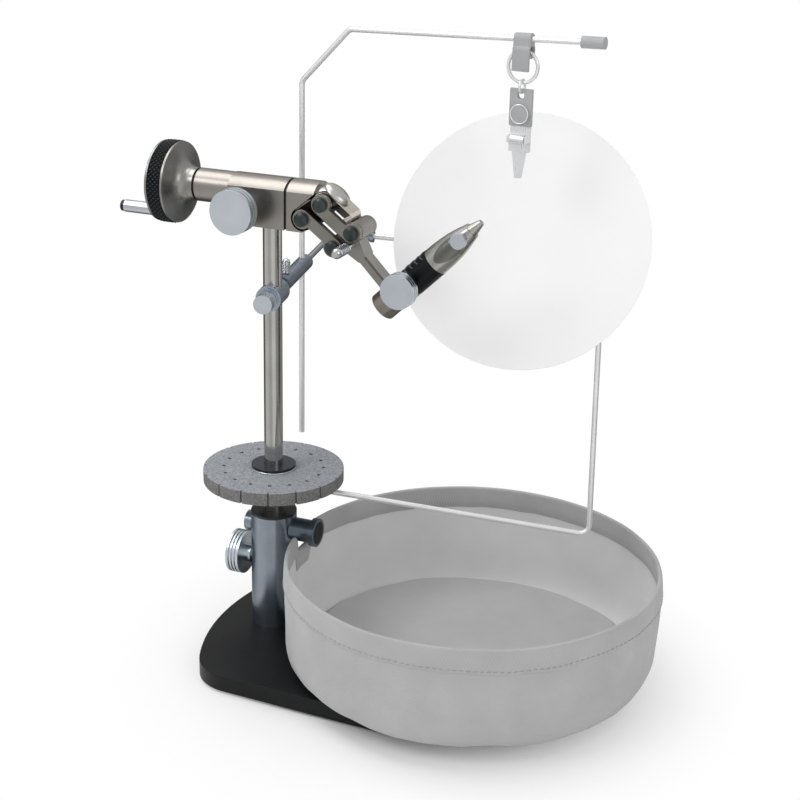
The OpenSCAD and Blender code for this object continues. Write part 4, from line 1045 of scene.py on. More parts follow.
@dataclass
class Rotor(Assembly):
    """The turning head: shaft, block, nose and the hand wheel with its knurled band."""

    name: str = "rotor"
    band_radius: float = 21.1 * MM
    band_span: tuple[float, float] = (-61.7 * MM, -53.9 * MM)
    band_thickness: float = 0.8 * MM
    columns: int = 54
    rows: int = 3
    knurl_height: float = 0.65 * MM
    dome_centre: tuple[float, float, float] = (36.6 * MM, 0.0, 256.1 * MM)
    dome_size: tuple[float, float, float] = (8.0 * MM, 6.2 * MM, 3.6 * MM)
    dome_turn: float = math.radians(37.22)
    flare_face: float = -52.67 * MM
    flare_end: float = -42.3 * MM
    flare_radii: tuple[float, float] = (20.4 * MM, 8.6 * MM)
    flare_length: float = 2.2 * MM
    flare_steps: int = 28
    finishes: dict = field(
        default_factory=lambda: {
            "rotor_shaft": POLISHED_STEEL,
            # Black washers: thin dark lines that part the wheel, the head and the block.
            "rotor_washers": Painted("black_wear_washers", "#08090a", "#0c0d0e", 0.5, 0.3, 0.004),
            # The head's nickel again, with near-black painted shade where the block's tongue stands between
            # the links.
            "rotor_block": Patched(
                "nickel_block",
                "#928d87",
                "#9d9892",
                0.33,
                Shine.BLASTED,
                depth_mm=0.006,
                tone="#1b1a19",
                mask=recess_shade_mask,
            ),
            # The head's nickel painted lighter on the rounded nose: a broad painted highlight over the
            # spring.
            "rotor_nose": Metal(
                "nickel_nose_painted_highlight", "#b9b7b3", "#c3c1bd", 0.32, Shine.BLASTED, depth_mm=0.002
            ),
            "head_pins": PIN_HEADS,
            "hand_wheel": WHEEL_ALUMINIUM,
            "crank_pin": BLACK_STEEL,
            # Plated handle: a bright cylinder with long highlights.
            "crank_handle": Metal(
                "plated_crank_handle",
                "#b9bdc2",
                "#c8ccd0",
                0.22,
                Shine.TURNED,
                centre=(0, -11.42 * MM, 240.17 * MM),
            ),
        }
    )
    # Black anodised knurl whose tips get a grey painted highlight, so that the net of points reads.
    band: Patched = Patched(
        "knurled_black_anodised_band",
        "#020304",
        "#070809",
        0.42,
        Shine.BLASTED,
        metallic=0.6,
        edge_mm=0.0,
        tone="#4d575e",
        mask=tip_highlight_mask,
    )

    def build(self) -> None:
        """Make the knurled band, the wheel's flared hub and the dome on the nose."""
        self.build_band()
        self.build_flare()
        self.build_dome()

    def build_dome(self) -> None:
        """Round the nose over the leaf spring with a low dome, cut flat underneath."""
        piece = primitive(
            bpy.ops.mesh.primitive_uv_sphere_add,
            segments=64,
            ring_count=32,
            radius=1.0,
            location=self.dome_centre,
            rotation=(0, self.dome_turn, 0),
            scale=self.dome_size,
        )
        upward = (math.sin(self.dome_turn), 0, math.cos(self.dome_turn))
        bpy.ops.object.mode_set(mode="EDIT")
        bpy.ops.mesh.select_all(action="SELECT")
        bpy.ops.mesh.bisect(plane_co=self.dome_centre, plane_no=upward, use_fill=True, clear_inner=True)
        bpy.ops.object.mode_set(mode="OBJECT")
        # The dome takes the nose's nickel with its painted highlight.
        finish_piece(piece, "nose_dome", self.finishes["rotor_nose"], "rotor", 40)

    def build_flare(self) -> None:
        """Spin the hub's horn, which runs from the wheel's face down to the neck in one curve."""
        wide, narrow = self.flare_radii
        reach = self.flare_end - self.flare_face
        outside = []
        for step in range(self.flare_steps + 1):
            ahead = reach * (step / self.flare_steps) ** 1.8
            radius = narrow + (wide - narrow) * math.exp(-ahead / self.flare_length)
            outside.append((self.flare_face + ahead, radius))
        inner, back = narrow - 0.4 * MM, self.flare_face - 0.2 * MM
        profile = [*outside, (self.flare_end, inner), (back, inner), (back, wide)]
        piece = spun(profile, Vector((0, 0, AXIS_HEIGHT)))
        finish_piece(piece, "wheel_flare", WHEEL_ALUMINIUM, "rotor", 40)

    def build_band(self) -> None:
        """Cut the diamond knurl: a ring of squares is turned to diamonds, and each is raised to a point."""
        low, high = self.band_span
        piece = primitive(
            bpy.ops.mesh.primitive_cylinder_add,
            vertices=self.columns,
            radius=self.band_radius,
            depth=high - low,
            end_fill_type="NOTHING",
            location=((low + high) / 2, 0, AXIS_HEIGHT),
            rotation=(0, math.pi / 2, 0),
        )
        bpy.ops.object.mode_set(mode="EDIT")
        for row in range(1, self.rows):
            bpy.ops.mesh.select_all(action="SELECT")
            cut = low + (high - low) * row / self.rows
            bpy.ops.mesh.bisect(plane_co=(cut, 0, AXIS_HEIGHT), plane_no=(1, 0, 0))
        bpy.ops.mesh.select_all(action="SELECT")
        corners = {v.index for v in bmesh.from_edit_mesh(piece.data).verts}
        bpy.ops.mesh.poke(offset=0.0)
        mesh = bmesh.from_edit_mesh(piece.data)
        bpy.context.tool_settings.mesh_select_mode = (False, True, False)
        bpy.ops.mesh.select_all(action="DESELECT")
        for edge in mesh.edges:
            edge.select_set(all(v.index in corners for v in edge.verts) and len(edge.link_faces) == 2)
        bmesh.update_edit_mesh(piece.data)
        bpy.ops.mesh.dissolve_edges(use_verts=False)
        bpy.context.tool_settings.mesh_select_mode = (False, False, True)
        bpy.ops.mesh.select_all(action="SELECT")
        bpy.ops.mesh.poke(offset=self.knurl_height)
        bpy.ops.mesh.select_all(action="SELECT")
        bpy.ops.mesh.normals_make_consistent(inside=False)
        bpy.ops.object.mode_set(mode="OBJECT")
        middle = Vector(((low + high) / 2, 0, AXIS_HEIGHT))
        if sum(face.normal.dot(face.center - middle) for face in piece.data.polygons) < 0:
            piece.data.flip_normals()
        modify(piece, "SOLIDIFY", thickness=self.band_thickness, offset=-1.0)
        finish_piece(piece, "knurled_band", self.band, "rotor", 10)
        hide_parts("wheel_grip")


@dataclass
class JawArm(Assembly):
    """The link pairs, the arm and the cam jaws."""

    name: str = "jaw arm"
    finishes: dict = field(
        default_factory=lambda: {
            "upper_links": LINK_STEEL,
            "lower_links": LINK_STEEL,
            # Spring steel: a pale bright strip, brushed across.
            "leaf_spring": Metal(
                "bright_spring_steel",
                "#cfc8bc",
                "#dad4c9",
                0.2,
                Shine.BRUSHED,
                grain_axis=Axis.Y,
                edge_mm=0.1,
            ),
            # Satin steel of the arm: a plain warm grey that darkens away from the light.
            "arm": Metal(
                "satin_steel_arm", "#8a8781", "#96938d", 0.34, Shine.BLASTED, depth_mm=0.006, edge_mm=0.3
            ),
            "arm_pins": PIN_HEADS,
            # Plated screw: small sharp white glints.
            "lock_screw": Metal(
                "plated_lock_screw",
                "#c3c6ca",
                "#d0d3d7",
                0.18,
                Shine.TURNED,
                grain_axis=Axis.Y,
                centre=(47.73 * MM, 0, 232.88 * MM),
            ),
            # Bronzed steel of the body: browner and darker than the jaws in front of it.
            "jaw_body": Metal("bronzed_steel_jaw_body", "#827c75", "#8e8780", 0.32, Shine.BLASTED),
            # Hardened jaw: light and glossy, with painted shade on the milled oval around the size screw.
            "jaw_front": Patched(
                "hardened_front_jaw",
                "#a3a29d",
                "#afaea9",
                0.26,
                Shine.BLASTED,
                depth_mm=0.003,
                tone="#6e6f6b",
                mask=flat_shade_mask,
            ),
            # The rear jaw in the same steel, without the oval.
            "jaw_rear": Metal(
                "hardened_steel_jaws", "#a3a29d", "#afaea9", 0.26, Shine.BLASTED, depth_mm=0.003
            ),
            # Moulded grip: nearly black, so that its ridges show.
            "grip_sleeve": Painted("moulded_grip", "#04080a", "#080c0e", 0.42, 0.3, 0.004, specular=0.2),
            "cam_knob": turned_knob("cam", (77.05, 0, 214.94), Axis.Y),
            "size_knob": turned_knob("hook_size", (104.65, 0, 241.79), Axis.Y),
        }
    )
    tail: tuple[float, float, float] = (62.57 * MM, 0.0, 200.86 * MM)
    grip_radius: float = 7.55 * MM
    ridges: tuple[float, ...] = (24.2 * MM, 27.9 * MM, 31.6 * MM, 35.3 * MM)
    # Millimetres along the grip and degrees up from its front.
    ridge_path: tuple[tuple[float, float], ...] = (
        (2.0, 100),
        (1.4, 86),
        (0.7, 72),
        (0.1, 60),
        (0.2, 54),
        (0.9, 46),
        (1.6, 38),
    )
    ridge_radius: float = 0.32 * MM
    # Raised ridges in a grey painted highlight: thin light hooks on the black grip.
    ridge: Painted = Painted("grip_ridge_painted_highlight", "#4c5356", "#5b6265", 0.36, 0.3, 0.004, edge_mm=0.0)

    def on_grip(self, along: float, turn: float) -> Vector:
        """Find a point on the round of the grip.

        Args:
            along: the distance from the jaw's tail.
            turn: 0 at the front and 90 at the top, in degrees.

        Returns:
            The point in metres.
        """
        axis = Vector((math.cos(JAW_TILT), 0, math.sin(JAW_TILT)))
        upper = Vector((-math.sin(JAW_TILT), 0, math.cos(JAW_TILT)))
        front = Vector((0, -1, 0))
        angle = math.radians(turn)
        outward = front * math.cos(angle) + upper * math.sin(angle)
        return Vector(self.tail) + axis * along + outward * self.grip_radius

    def build(self) -> None:
        """Raise the four hooked ridges on the upper front of the grip."""
        for number, start in enumerate(self.ridges, 1):
            points = [self.on_grip(start + ahead * MM, turn) for ahead, turn in self.ridge_path]
            piece = bent_tube(points, self.ridge_radius, self.ridge_radius)
            finish_piece(piece, f"grip_ridge_{number}", self.ridge, "jaw_arm")


@dataclass
class AccessoryArm(Assembly):
    """The jointed arm behind the stem, which holds the gallows."""

    name: str = "accessory arm"
    finishes: dict = field(
        default_factory=lambda: {
            # Anodised clamp: the lightest blue-grey of the arm, ringed around its bore.
            "arm_clamp": Metal(
                "blue_grey_arm_clamp",
                "#a3adb9",
                "#afb9c5",
                0.3,
                Shine.TURNED,
                grain_axis=Axis.Y,
                metallic=0.9,
                centre=(0, 0, ARM_HEIGHT),
            ),
            "arm_clamp_knob": turned_knob("arm_screw", (0, 0, 199), Axis.Y),
            # Anodised tube: a slate blue-grey, darker than its clamp.
            "arm_tube": Metal(
                "blue_grey_arm_tube",
                "#8893a2",
                "#959fae",
                0.3,
                Shine.TURNED,
                grain_axis=Axis.Y,
                metallic=0.9,
                centre=(0, 0, ARM_HEIGHT),
            ),
            # Plated thumb screw: bright, with sharp glints on its ribs.
            "arm_thumb_screw": Metal(
                "plated_thumb_screw",
                "#ccd0d4",
                "#d8dbde",
                0.18,
                Shine.TURNED,
                grain_axis=Axis.Z,
                centre=(-5.1 * MM, 26.5 * MM, 0),
            ),
            # Plated lock screw at the arm's end: bright, with rings on its face.
            "wire_lock_screw": Metal(
                "plated_wire_lock",
                "#c6cacf",
                "#d2d6da",
                0.2,
                Shine.TURNED,
                grain_axis=Axis.Y,
                centre=(0, 0, ARM_HEIGHT),
            ),
        }
    )


@dataclass
class Gallows(Assembly):
    """The bent wire over the jaws, with the runner, ring, strap and clip that hang from it."""

    name: str = "gallows"
    wire_radius: float = 1.5 * MM
    bend: float = 5 * MM
    foot: tuple[float, float] = (-11.35 * MM, 58.92 * MM)
    turn: float = math.radians(-6)
    # Millimetres along the wire's plane and above the table.
    corners: tuple[tuple[float, float], ...] = ((0, 99.8), (0, 300.8), (29.2, 330.5), (170, 335.17))
    snap_radius: float = 4.75 * MM
    snap_round: float = 0.3 * MM
    snap: tuple[float, float, float] = (116.3 * MM, 43.14 * MM, 296.8 * MM)
    finishes: dict = field(
        default_factory=lambda: {
            # Rubber cap: a flat pale grey plug on the wire's end.
            "gallows_cap": Painted("moulded_rubber_cap", "#a9aaab", "#b3b4b5", 0.5, 0.4, 0.006),
            # Woven strap of the runner: flat mid grey with a soft grain.
            "runner_tab": Painted("grey_strap_tab", "#a4a5a6", "#afb0b1", 0.6, 0.5, 0.02),
            "key_ring": BRIGHT_WIRE,
            "jump_ring": BRIGHT_WIRE,
            # Grained strap: grey, with the coarse grain of leather cloth.
            "clip_strap": Painted("grey_grained_strap", "#acadae", "#b8b9ba", 0.58, 0.9, 0.03),
            "clip_rear_jaw": CLIP_STEEL,
            "clip_front_jaw": CLIP_STEEL,
        }
    )

    def build(self) -> None:
        """Draw the wire with smooth bends, and set the ring around the strap's snap."""
        along = Vector((math.cos(self.turn), math.sin(self.turn), 0))
        points = [Vector((*self.foot, z * MM)) + along * s * MM for s, z in self.corners]
        piece = bent_tube(points, self.wire_radius, self.bend)
        finish_piece(piece, "gallows_drawn_wire", BRIGHT_WIRE, "gallows")
        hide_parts("gallows_wire")
        rim = primitive(
            bpy.ops.mesh.primitive_torus_add,
            major_radius=self.snap_radius,
            minor_radius=self.snap_round,
            major_segments=64,
            minor_segments=10,
            location=self.snap,
            rotation=(math.pi / 2, 0, self.turn),
        )
        finish_piece(rim, "snap_rim", BRIGHT_WIRE, "clip", 60)


@dataclass
class PlateFrame(Assembly):
    """The wire frame around the stem and the pale round plate that it holds."""

    name: str = "plate frame"
    wire_radius: float = 1.5 * MM
    bend: float = 5 * MM
    eye_radius: float = 6.55 * MM
    eye_height: float = 89.85 * MM
    eye_turn: float = math.radians(288)
    eye_steps: int = 40
    # The wire's corners and its end, in millimetres.
    low: tuple[float, float, float] = (163, 55.4, 69.9)
    high: tuple[float, float, float] = (155.8, 75, 219.4)
    end: tuple[float, float, float] = (29.26, 50.17, 222.78)
    finishes: dict = field(
        default_factory=lambda: {
            # Anodised cap: a small blue-grey end on the pale wire.
            "frame_cap": Metal("blue_grey_frame_cap", "#98a2ae", "#a4aeba", 0.3, Shine.TURNED),
            # Opal acrylic: an even white field with only a faint grey towards its foot.
            "background_plate": Painted("opal_acrylic", "#fefefe", "#ffffff", 0.6, 1.2, 0.001),
            # Moulded clips behind the plate: pale and smooth.
            "plate_clips": Painted("moulded_clear_clips", "#d6d8da", "#dfe1e3", 0.35, 0.4, 0.002),
        }
    )

    def build(self) -> None:
        """Draw the frame's wire: an open eye around the stem, and three runs with round corners."""
        heading = math.atan2(self.low[1], self.low[0])
        eye = []
        for step in range(self.eye_steps + 1):
            angle = heading + math.pi / 2 + self.eye_turn * (1 - step / self.eye_steps)
            x, y = self.eye_radius * math.cos(angle), self.eye_radius * math.sin(angle)
            eye.append(Vector((x, y, self.eye_height)))
        runs = [Vector(corner) * MM for corner in (self.low, self.high, self.end)]
        piece = bent_tube(eye + runs, self.wire_radius, self.bend)
        finish_piece(piece, "frame_drawn_wire", BRIGHT_WIRE, "plate_frame")
        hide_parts("frame_wire")


@dataclass
class WasteBin(Assembly):
    """The soft round bin: a cloth wall sewn to a cloth floor, with a folded and stitched hem."""

    name: str = "waste bin"
    centre: tuple[float, float] = (115 * MM, 3 * MM)
    radius: float = 98.4 * MM
    floor_radius: float = 89 * MM
    top: float = 67.9 * MM
    floor_height: float = 10.5 * MM
    shoulder: float = 28 * MM
    hem: float = 12.5 * MM
    columns: int = 288
    thickness: float = 0.9 * MM
    notch_low: float = 58.4 * MM
    notch_half: float = 10.5 * MM
    seam_lift: float = 1.6 * MM
    stitch_pitch: float = 3.2 * MM
    stitch_size: tuple[float, float, float] = (1.15 * MM, 0.22 * MM, 0.28 * MM)
    straight_share: float = 0.7
    wall_rows: int = 30
    wall_height: float = 68 * MM
    strip_width: float = 70 * MM
    floor_rows: int = 14
    # Woven nylon wall: an even mid grey with a fine weave and soft clouds.
    cloth: Cloth = Cloth("woven_nylon_bin_wall", "#afafaf", "#bcbcbc", 0.8)
    # Inside of the wall: the same cloth painted paler, as painted light for the light that goes back and
    # forth in the bin.
    lit_inside_cloth: Cloth = Cloth("woven_nylon_bin_inside_painted_light", "#dadada", "#e2e2e2", 0.8)
    # The floor: the same cloth painted paler than the outside and darker than the inside, as painted light,
    # so that its edge shows as a line.
    lit_floor_cloth: Cloth = Cloth("woven_nylon_bin_floor_painted_light", "#b6b6b6", "#c0c0c0", 0.8)
    # The folded hem: the wall's cloth, painted a little darker as painted shade.
    shaded_hem_cloth: Cloth = Cloth("woven_nylon_bin_hem_painted_shade", "#acacac", "#bababa", 0.8)
    # Polyester thread: a dull grey row of stitches along the hem.
    thread: Painted = Painted("polyester_thread", "#a6a6a6", "#b2b2b2", 0.7, 0.3, 0.01, edge_mm=0.0)

    def rim_height(self, angle: float) -> float:
        """Give the rim's height, with the dip that hangs over the stud.

        Args:
            angle: the place around the bin, in radians.

        Returns:
            The height in metres.
        """
        across = abs(self.centre[1] + self.radius * math.sin(angle))
        if math.cos(angle) > 0 or across > self.notch_half:
            return self.top
        share = min(1.0, (self.notch_half - across) / (2.4 * MM))
        return self.top - (self.top - self.notch_low) * share * share * (3 - 2 * share)

    def wander(self, angle: float, share: float) -> float:
        """Tell how far the soft wall stands out or in.

        Args:
            angle: the place around the bin, in radians.
            share: 0 at the rim and 1 at the foot of the wall.

        Returns:
            The shift outwards in metres.
        """
        around = Vector((2.1 * math.cos(angle), 2.1 * math.sin(angle), 1.4 * share))
        fine = Vector((7.0 * math.cos(angle), 7.0 * math.sin(angle), 3.0 * share + 5.0))
        loose = 0.25 + 0.75 * share
        return (1.9 * noise.noise(around) + 0.7 * noise.noise(fine)) * loose * MM

    def wall_point(self, angle: float, share: float, out: float = 0.0) -> Vector:
        """Find a point of the wall's outer face.

        Args:
            angle: the place around the bin, in radians.
            share: 0 at the rim and 1 where the wall meets the floor.
            out: a further shift outwards.

        Returns:
            The point in metres.
        """
        straight = self.straight_share
        rim = self.rim_height(angle)
        loose = noise.noise(Vector((3.4 * math.cos(angle), 3.4 * math.sin(angle), 9.0)))
        foot = self.floor_height + 0.2 * MM + 1.4 * MM * max(0.0, loose)
        if share <= straight:
            z = rim - (rim - self.shoulder) * share / straight
            radius = self.radius + 0.7 * MM * math.sin(math.pi * share / straight)
        else:
            turn = (share - straight) / (1 - straight) * math.pi / 2
            z = self.shoulder - (self.shoulder - foot) * math.sin(turn)
            radius = self.floor_radius + (self.radius - self.floor_radius) * math.cos(turn) ** 0.8
        radius += self.wander(angle, share) + out
        x, y = self.centre
        return Vector((x + radius * math.cos(angle), y + radius * math.sin(angle), z))

    def skin(
        self, name: str, rings: list[list[Vector]], flat_map: Callable[[int, int], tuple[float, float]]
    ) -> bpy.types.Object:
        """Skin rings of points into one mesh, with a UV map in metres of cloth.

        Args:
            name: the object's name.
            rings: rows of points from the rim down, each around the bin.
            flat_map: gives the place on the flat cloth from a ring's and a column's number.

        Returns:
            The object.
        """
        mesh = bmesh.new()
        rows = [[mesh.verts.new(p) for p in ring] for ring in rings]
        uv = mesh.loops.layers.uv.new("cloth")
        for i, (upper, lower) in enumerate(zip(rows, rows[1:])):
            for k in range(self.columns):
                n = (k + 1) % self.columns
                face = mesh.faces.new((upper[k], lower[k], lower[n], upper[n]))
                spots = ((i, k), (i + 1, k), (i + 1, k + 1), (i, k + 1))
                for loop, spot in zip(face.loops, spots):
                    loop[uv].uv = flat_map(*spot)
        return object_from(mesh, name)

    def build(self) -> None:
        """Make the wall, the floor, the hem and its stitches."""
        angles = [2 * math.pi * k / self.columns for k in range(self.columns)]
        wall = self.build_wall(angles)
        floor = self.build_floor(angles)
        hem = self.build_hem(angles)
        stitches = self.build_stitches()
        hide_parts("bin_fabric")

    def build_wall(self, angles: list[float]) -> bpy.types.Object:
        """Make the wall: upright cloth that turns in to the floor, a little loose at its foot.

        Args:
            angles: the places around the bin.

        Returns:
            The wall.
        """
        count = self.wall_rows
        step = 2 * math.pi * self.radius / self.columns
        rings = [[self.wall_point(a, i / count) for a in angles] for i in range(count + 1)]
        drop = self.wall_height / count
        piece = self.skin("bin_wall", rings, lambda i, k: (k * step, i * drop))
        modify(piece, "SOLIDIFY", thickness=self.thickness, offset=-1.0)
        finish_piece(piece, "bin_wall", self.cloth, "waste_bin", 60)
        # The inner faces take the paler cloth of painted light.
        piece.data.materials.append(material_for(self.lit_inside_cloth))
        middle = Vector((*self.centre, 0))
        for face in piece.data.polygons:
            face.material_index = int(face.normal.dot(face.center - middle) < 0)
        return piece

    def build_floor(self, angles: list[float]) -> bpy.types.Object:
        """Make the floor: a slack round sheet whose edge stands up as a seam against the wall.

        Args:
            angles: the places around the bin.

        Returns:
            The floor.
        """
        rings = []
        for i in range(self.floor_rows):
            inward = i / self.floor_rows
            ring = []
            for a in angles:
                edge = self.wall_point(a, 1.0) - Vector((*self.centre, 0))
                radius = Vector((edge.x, edge.y)).length - 1.0 * MM
                p = Vector((math.cos(a), math.sin(a), 0)) * radius * (1 - inward) + Vector((*self.centre, 0))
                slack = 0.6 * MM * noise.noise(Vector((p.x, p.y, 0)) / 0.035) * min(1.0, 4 * inward)
                ridge = self.seam_lift * max(0.0, 1 - (inward * self.floor_rows) / 1.6)
                p.z = max(self.floor_height + 1.1 * MM + slack, self.floor_height + 0.9 * MM) + ridge
                ring.append(p)
            rings.append(ring)
        centre = Vector(self.centre)
        piece = self.skin("bin_floor", rings, lambda i, k: tuple(rings[i][k % self.columns].xy - centre))
        activate(piece)
        bpy.ops.object.mode_set(mode="EDIT")
        bpy.context.tool_settings.mesh_select_mode = (False, True, False)
        bpy.ops.mesh.select_all(action="DESELECT")
        mesh = bmesh.from_edit_mesh(piece.data)
        for edge in mesh.edges:
            middle = (edge.verts[0].co + edge.verts[1].co) / 2
            edge.select_set(edge.is_boundary and (middle.xy - centre).length < self.floor_radius / 2)
        bmesh.update_edit_mesh(piece.data)
        bpy.ops.mesh.fill_grid()
        bpy.ops.object.mode_set(mode="OBJECT")
        modify(piece, "SOLIDIFY", thickness=self.thickness, offset=-1.0)
        return finish_piece(piece, "bin_floor", self.lit_floor_cloth, "waste_bin", 60)

    def build_hem(self, angles: list[float]) -> bpy.types.Object:
        """Fold the hem: a band outside and inside the rim, joined by a round fold.

        Args:
            angles: the places around the bin.

        Returns:
            The hem.
        """
        outside, inside = 0.65 * MM, -self.thickness - 0.75 * MM
        rings = [[self.hem_point(a, 0.2 * MM, 1.02 * self.hem) for a in angles]]
        for out, down in ((0.6, 0.96), (0.75, 0.75), (0.8, 0.5), (0.75, 0.25), (0.65, 0.08)):
            rings.append([self.hem_point(a, out * MM, down * self.hem) for a in angles])
        for step in range(1, 8):
            turn = math.pi * step / 8
            half = (outside - inside) / 2
            out = outside - half + half * math.cos(turn)
            rings.append([self.hem_point(a, out, -1.0 * MM * math.sin(turn) + 0.7 * MM) for a in angles])
        tuck = 0.1 * MM
        for out, down in ((inside, 0.1), (inside - tuck, 0.5), (inside, 0.94), (-self.thickness - tuck, 1.0)):
            rings.append([self.hem_point(a, out, down * self.hem) for a in angles])
        step = 2 * math.pi * self.radius / self.columns
        piece = self.skin("bin_folded_hem", rings, lambda i, k: (k * step, i * 1.4 * MM))
        piece.data.flip_normals()
        finish_piece(piece, "bin_folded_hem", self.shaded_hem_cloth, "waste_bin", 60)
        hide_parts("bin_hem")
        return piece

    def hem_point(self, angle: float, out: float, down: float) -> Vector:
        """Find a point of the hem, which follows the wall.

        Args:
            angle: the place around the bin, in radians.
            out: how far it stands out from the wall.
            down: how far it lies below the rim.

        Returns:
            The point in metres.
        """
        wave = 0.5 * MM * noise.noise(Vector((9 * math.cos(angle), 9 * math.sin(angle), 2.0)))
        low = down + wave * min(1.0, max(0.0, down / self.hem))
        share = max(0.0, low) / (self.rim_height(angle) - self.shoulder) * self.straight_share
        p = self.wall_point(angle, share, out)
        if low < 0:
            p.z -= low
        return p

    def build_stitches(self) -> bpy.types.Object:
        """Sew the hem: one stitch is shaped once and copied around the rim.

        Returns:
            The row of stitches.
        """
        pattern = primitive(
            bpy.ops.mesh.primitive_ico_sphere_add, subdivisions=1, radius=1.0, scale=self.stitch_size
        )
        count = int(2 * math.pi * self.radius / self.stitch_pitch)
        row = []
        for k in range(count):
            angle = 2 * math.pi * k / count
            spot = self.hem_point(angle, 0.8 * MM, 0.88 * self.hem)
            ahead = (self.hem_point(angle + 0.01, 0.8 * MM, 0.88 * self.hem) - spot).normalized()
            stitch = bpy.data.objects.new("stitch", pattern.data.copy())
            turn = ahead.to_track_quat("X", "Z").to_matrix().to_4x4()
            stitch.data.transform(Matrix.Translation(spot) @ turn)
            bpy.context.scene.collection.objects.link(stitch)
            row.append(stitch)
        bpy.data.objects.remove(pattern)
        deselect()
        for stitch in row:
            stitch.select_set(True)
        bpy.context.view_layer.objects.active = row[0]
        bpy.ops.object.join()
        return finish_piece(row[0], "bin_stitches", self.thread, "waste_bin", 60)


# Studio


@dataclass(frozen=True)
class Lamp:
    """A soft box: where it stands, where it points, how large it is and how bright."""

    name: str
    place: tuple[float, float, float]
    aim: tuple[float, float, float]
    size: float
    watts: float

    def build(self) -> None:
        """Hang the lamp."""
        data = bpy.data.lights.new(self.name, "AREA")
        data.shape = "DISK"
        data.size = self.size
        data.energy = self.watts
        lamp = bpy.data.objects.new(self.name, data)
        lamp.location = self.place
        lamp.rotation_euler = (Vector(self.aim) - Vector(self.place)).to_track_quat("-Z", "Y").to_euler()
        bpy.context.scene.collection.objects.link(lamp)


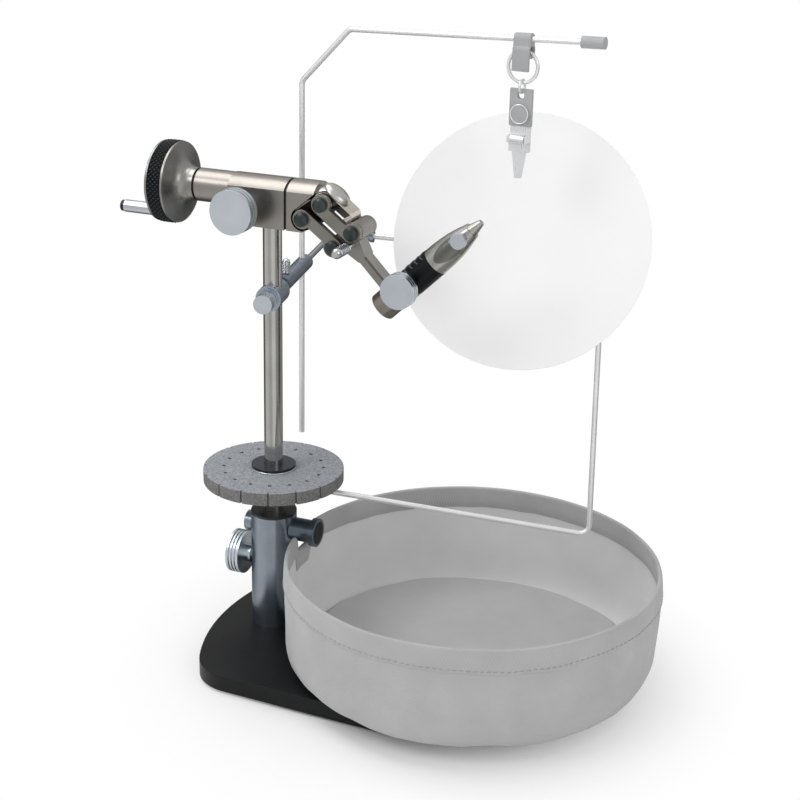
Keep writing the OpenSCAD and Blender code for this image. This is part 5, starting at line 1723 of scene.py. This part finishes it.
@dataclass
class Studio:
    """The pale floor, the soft lamps, the world and the camera of the photograph."""

    lamps: tuple[Lamp, ...] = (
        Lamp("key_box", (-0.75, -1.1, 1.25), (0.05, 0, 0.15), 0.7, 5.0),
        Lamp("fill_box", (1.5, -0.7, 0.9), (0.05, 0, 0.15), 0.9, 4.0),
        Lamp("crown_box", (-0.52, 0.0, 1.55), (0.0, 0, 0.25), 1.15, 9.5),
    )
    # The view that was fitted to the photograph: place in metres, then the picture's right and up
    # and the direction back from the lens.
    camera_place: tuple[float, float, float] = (0.374412, -0.745537, 0.446244)
    camera_right: tuple[float, float, float] = (0.9240, 0.3818, 0.0209)
    camera_up: tuple[float, float, float] = (-0.1494, 0.3102, 0.9389)
    camera_back: tuple[float, float, float] = (0.352, -0.8707, 0.3437)
    lens: float = 74.574
    ambient: float = 0.56
    floor_size: float = 12.0
    # The floor's shade is kept inside the first radius around this point and is gone at the second.
    fade_centre: tuple[float, float, float] = (0.085, 0.0, 0.0)
    fade_span: tuple[float, float] = (0.06, 0.19)
    # Above these heights of a mirrored direction, the painted card reflections give way to a plain light.
    reflection_card_rise: tuple[float, float] = (0.15, 0.5)
    high_light: float = 0.75
    # Painted reflections for glossy rays only, with no cards in the scene: what polished metal mirrors around
    # the object,
    # as azimuth in degrees and brightness: white paper in front and to the left, a grey card on the right and
    # a black one behind.
    reflection_cards: tuple[tuple[float, float], ...] = (
        (-180, 0.3),
        (-172, 0.6),
        (-160, 0.95),
        (-130, 0.8),
        (-110, 0.64),
        (-92, 0.7),
        (-80, 1.0),
        (-45, 1.0),
        (-32, 0.5),
        (0, 0.4),
        (15, 0.12),
        (42, 0.1),
        (54, 0.66),
        (62, 0.5),
        (70, 0.3),
        (88, 0.14),
        (105, 0.08),
        (165, 0.08),
        (180, 0.3),
    )

    def build(self) -> None:
        """Set up the studio."""
        for lamp in self.lamps:
            lamp.build()
        self.build_floor()
        self.build_world()
        self.build_camera()
        bpy.context.scene.view_settings.view_transform = "Standard"

    def build_camera(self) -> None:
        """Place the camera at the photograph's view."""
        data = bpy.data.cameras.new("photo_camera")
        data.lens = self.lens
        data.sensor_width = 36.0
        data.clip_start = 0.01
        camera = bpy.data.objects.new("photo_camera", data)
        turn = Matrix((self.camera_right, self.camera_up, self.camera_back)).transposed()
        camera.matrix_world = Matrix.Translation(self.camera_place) @ turn.to_4x4()
        bpy.context.scene.collection.objects.link(camera)
        bpy.context.scene.camera = camera

    def build_floor(self) -> None:
        """Lay a pale floor that fades to plain white away from the object, keeps its shadow near it and glows
        with painted card reflections for glossy rays.
        """
        floor = primitive(
            bpy.ops.mesh.primitive_grid_add,
            x_subdivisions=8,
            y_subdivisions=8,
            size=self.floor_size,
            location=(0, 0, -0.2 * MM),
        )
        floor.name = "studio_floor"
        # White paper: it takes the shadow, and elsewhere shows as the plain white of the photograph.
        material, tree, shader = new_material("studio_paper")
        shader.inputs["Base Color"].default_value = linear("#fbfbfb")
        shader.inputs["Roughness"].default_value = 1.0
        shader.inputs["Specular IOR Level"].default_value = 0.0
        off = vector_node(tree, "SUBTRACT", object_place(tree), self.fade_centre)
        start, end = self.fade_span
        far = {"Value": vector_node(tree, "LENGTH", off), "From Min": start, "From Max": end}
        fade = add_node(tree, "MapRange", far, interpolation_type="SMOOTHSTEP").outputs["Result"]
        rays = add_node(tree, "LightPath").outputs
        seen = math_node(tree, "MAXIMUM", rays["Is Camera Ray"], rays["Is Glossy Ray"])
        shown = math_node(tree, "MULTIPLY", seen, fade)
        # Glossy rays see the floor glow with the painted card reflections.
        mirrored = choice(tree, rays["Is Glossy Ray"], 1.0, self.reflection_card_light(tree, off))
        white = add_node(tree, "Emission", {"Color": (1, 1, 1, 1), "Strength": mirrored})
        mixed = add_node(tree, "MixShader", {0: shown, 1: shader.outputs["BSDF"], 2: white.outputs[0]})
        output = next(n for n in tree.nodes if n.type == "OUTPUT_MATERIAL")
        tree.links.new(mixed.outputs[0], output.inputs["Surface"])
        floor.data.materials.append(material)

    def reflection_card_light(self, tree: bpy.types.NodeTree, direction: bpy.types.NodeSocket) -> bpy.types.NodeSocket:
        """Look up how bright the painted reflections of cards around the object are.

        Args:
            tree: the material's or world's node tree.
            direction: the direction from the object.

        Returns:
            The brightness.
        """
        parts = add_node(tree, "SeparateXYZ", {"Vector": direction})
        turn = math_node(tree, "ARCTAN2", parts.outputs["Y"], parts.outputs["X"])
        place = math_node(tree, "MULTIPLY_ADD", turn, 1 / (2 * math.pi), 0.5)
        ramp = add_node(tree, "ValToRGB", {"Fac": place})
        spots = ramp.color_ramp.elements
        for azimuth, light in self.reflection_cards:
            spot = {-180: spots[0], 180: spots[-1]}.get(azimuth) or spots.new((azimuth + 180) / 360)
            spot.color = (light, light, light, 1.0)
        start, end = self.reflection_card_rise
        high = ranged(tree, parts.outputs["Z"], start=start, end=end)
        return choice(tree, high, ramp.outputs["Color"], self.high_light)

    def build_world(self) -> None:
        """Make the white surroundings, and the painted card reflections that only polished metal sees."""
        world = bpy.data.worlds.new("studio")
        world.use_nodes = True
        tree = world.node_tree
        tree.nodes.clear()
        direction = add_node(tree, "TexCoord").outputs["Generated"]
        rays = add_node(tree, "LightPath").outputs
        # Glossy rays see the painted card reflections in the world.
        mirrored = choice(tree, rays["Is Glossy Ray"], self.ambient, self.reflection_card_light(tree, direction))
        seen = math_node(tree, "MAXIMUM", rays["Is Camera Ray"], rays["Is Transmission Ray"])
        strength = choice(tree, seen, mirrored, 1.0)
        back = add_node(tree, "Background", {"Color": (1, 1, 1, 1), "Strength": strength})
        add_node(tree, "OutputWorld", {"Surface": back.outputs[0]})
        bpy.context.scene.world = world


def main() -> None:
    """Build the studio and every sub-assembly."""
    logging.basicConfig(level=logging.INFO, format="%(name)s: %(message)s")
    Studio().build()
    kinds = (Pedestal, Column, ToolDisc, Rotor, JawArm, AccessoryArm, Gallows, PlateFrame, WasteBin)
    for kind in kinds:
        assembly = kind()
        assembly.dress()
        assembly.build()
    bpy.context.view_layer.update()


if __name__ == "__main__":
    main()
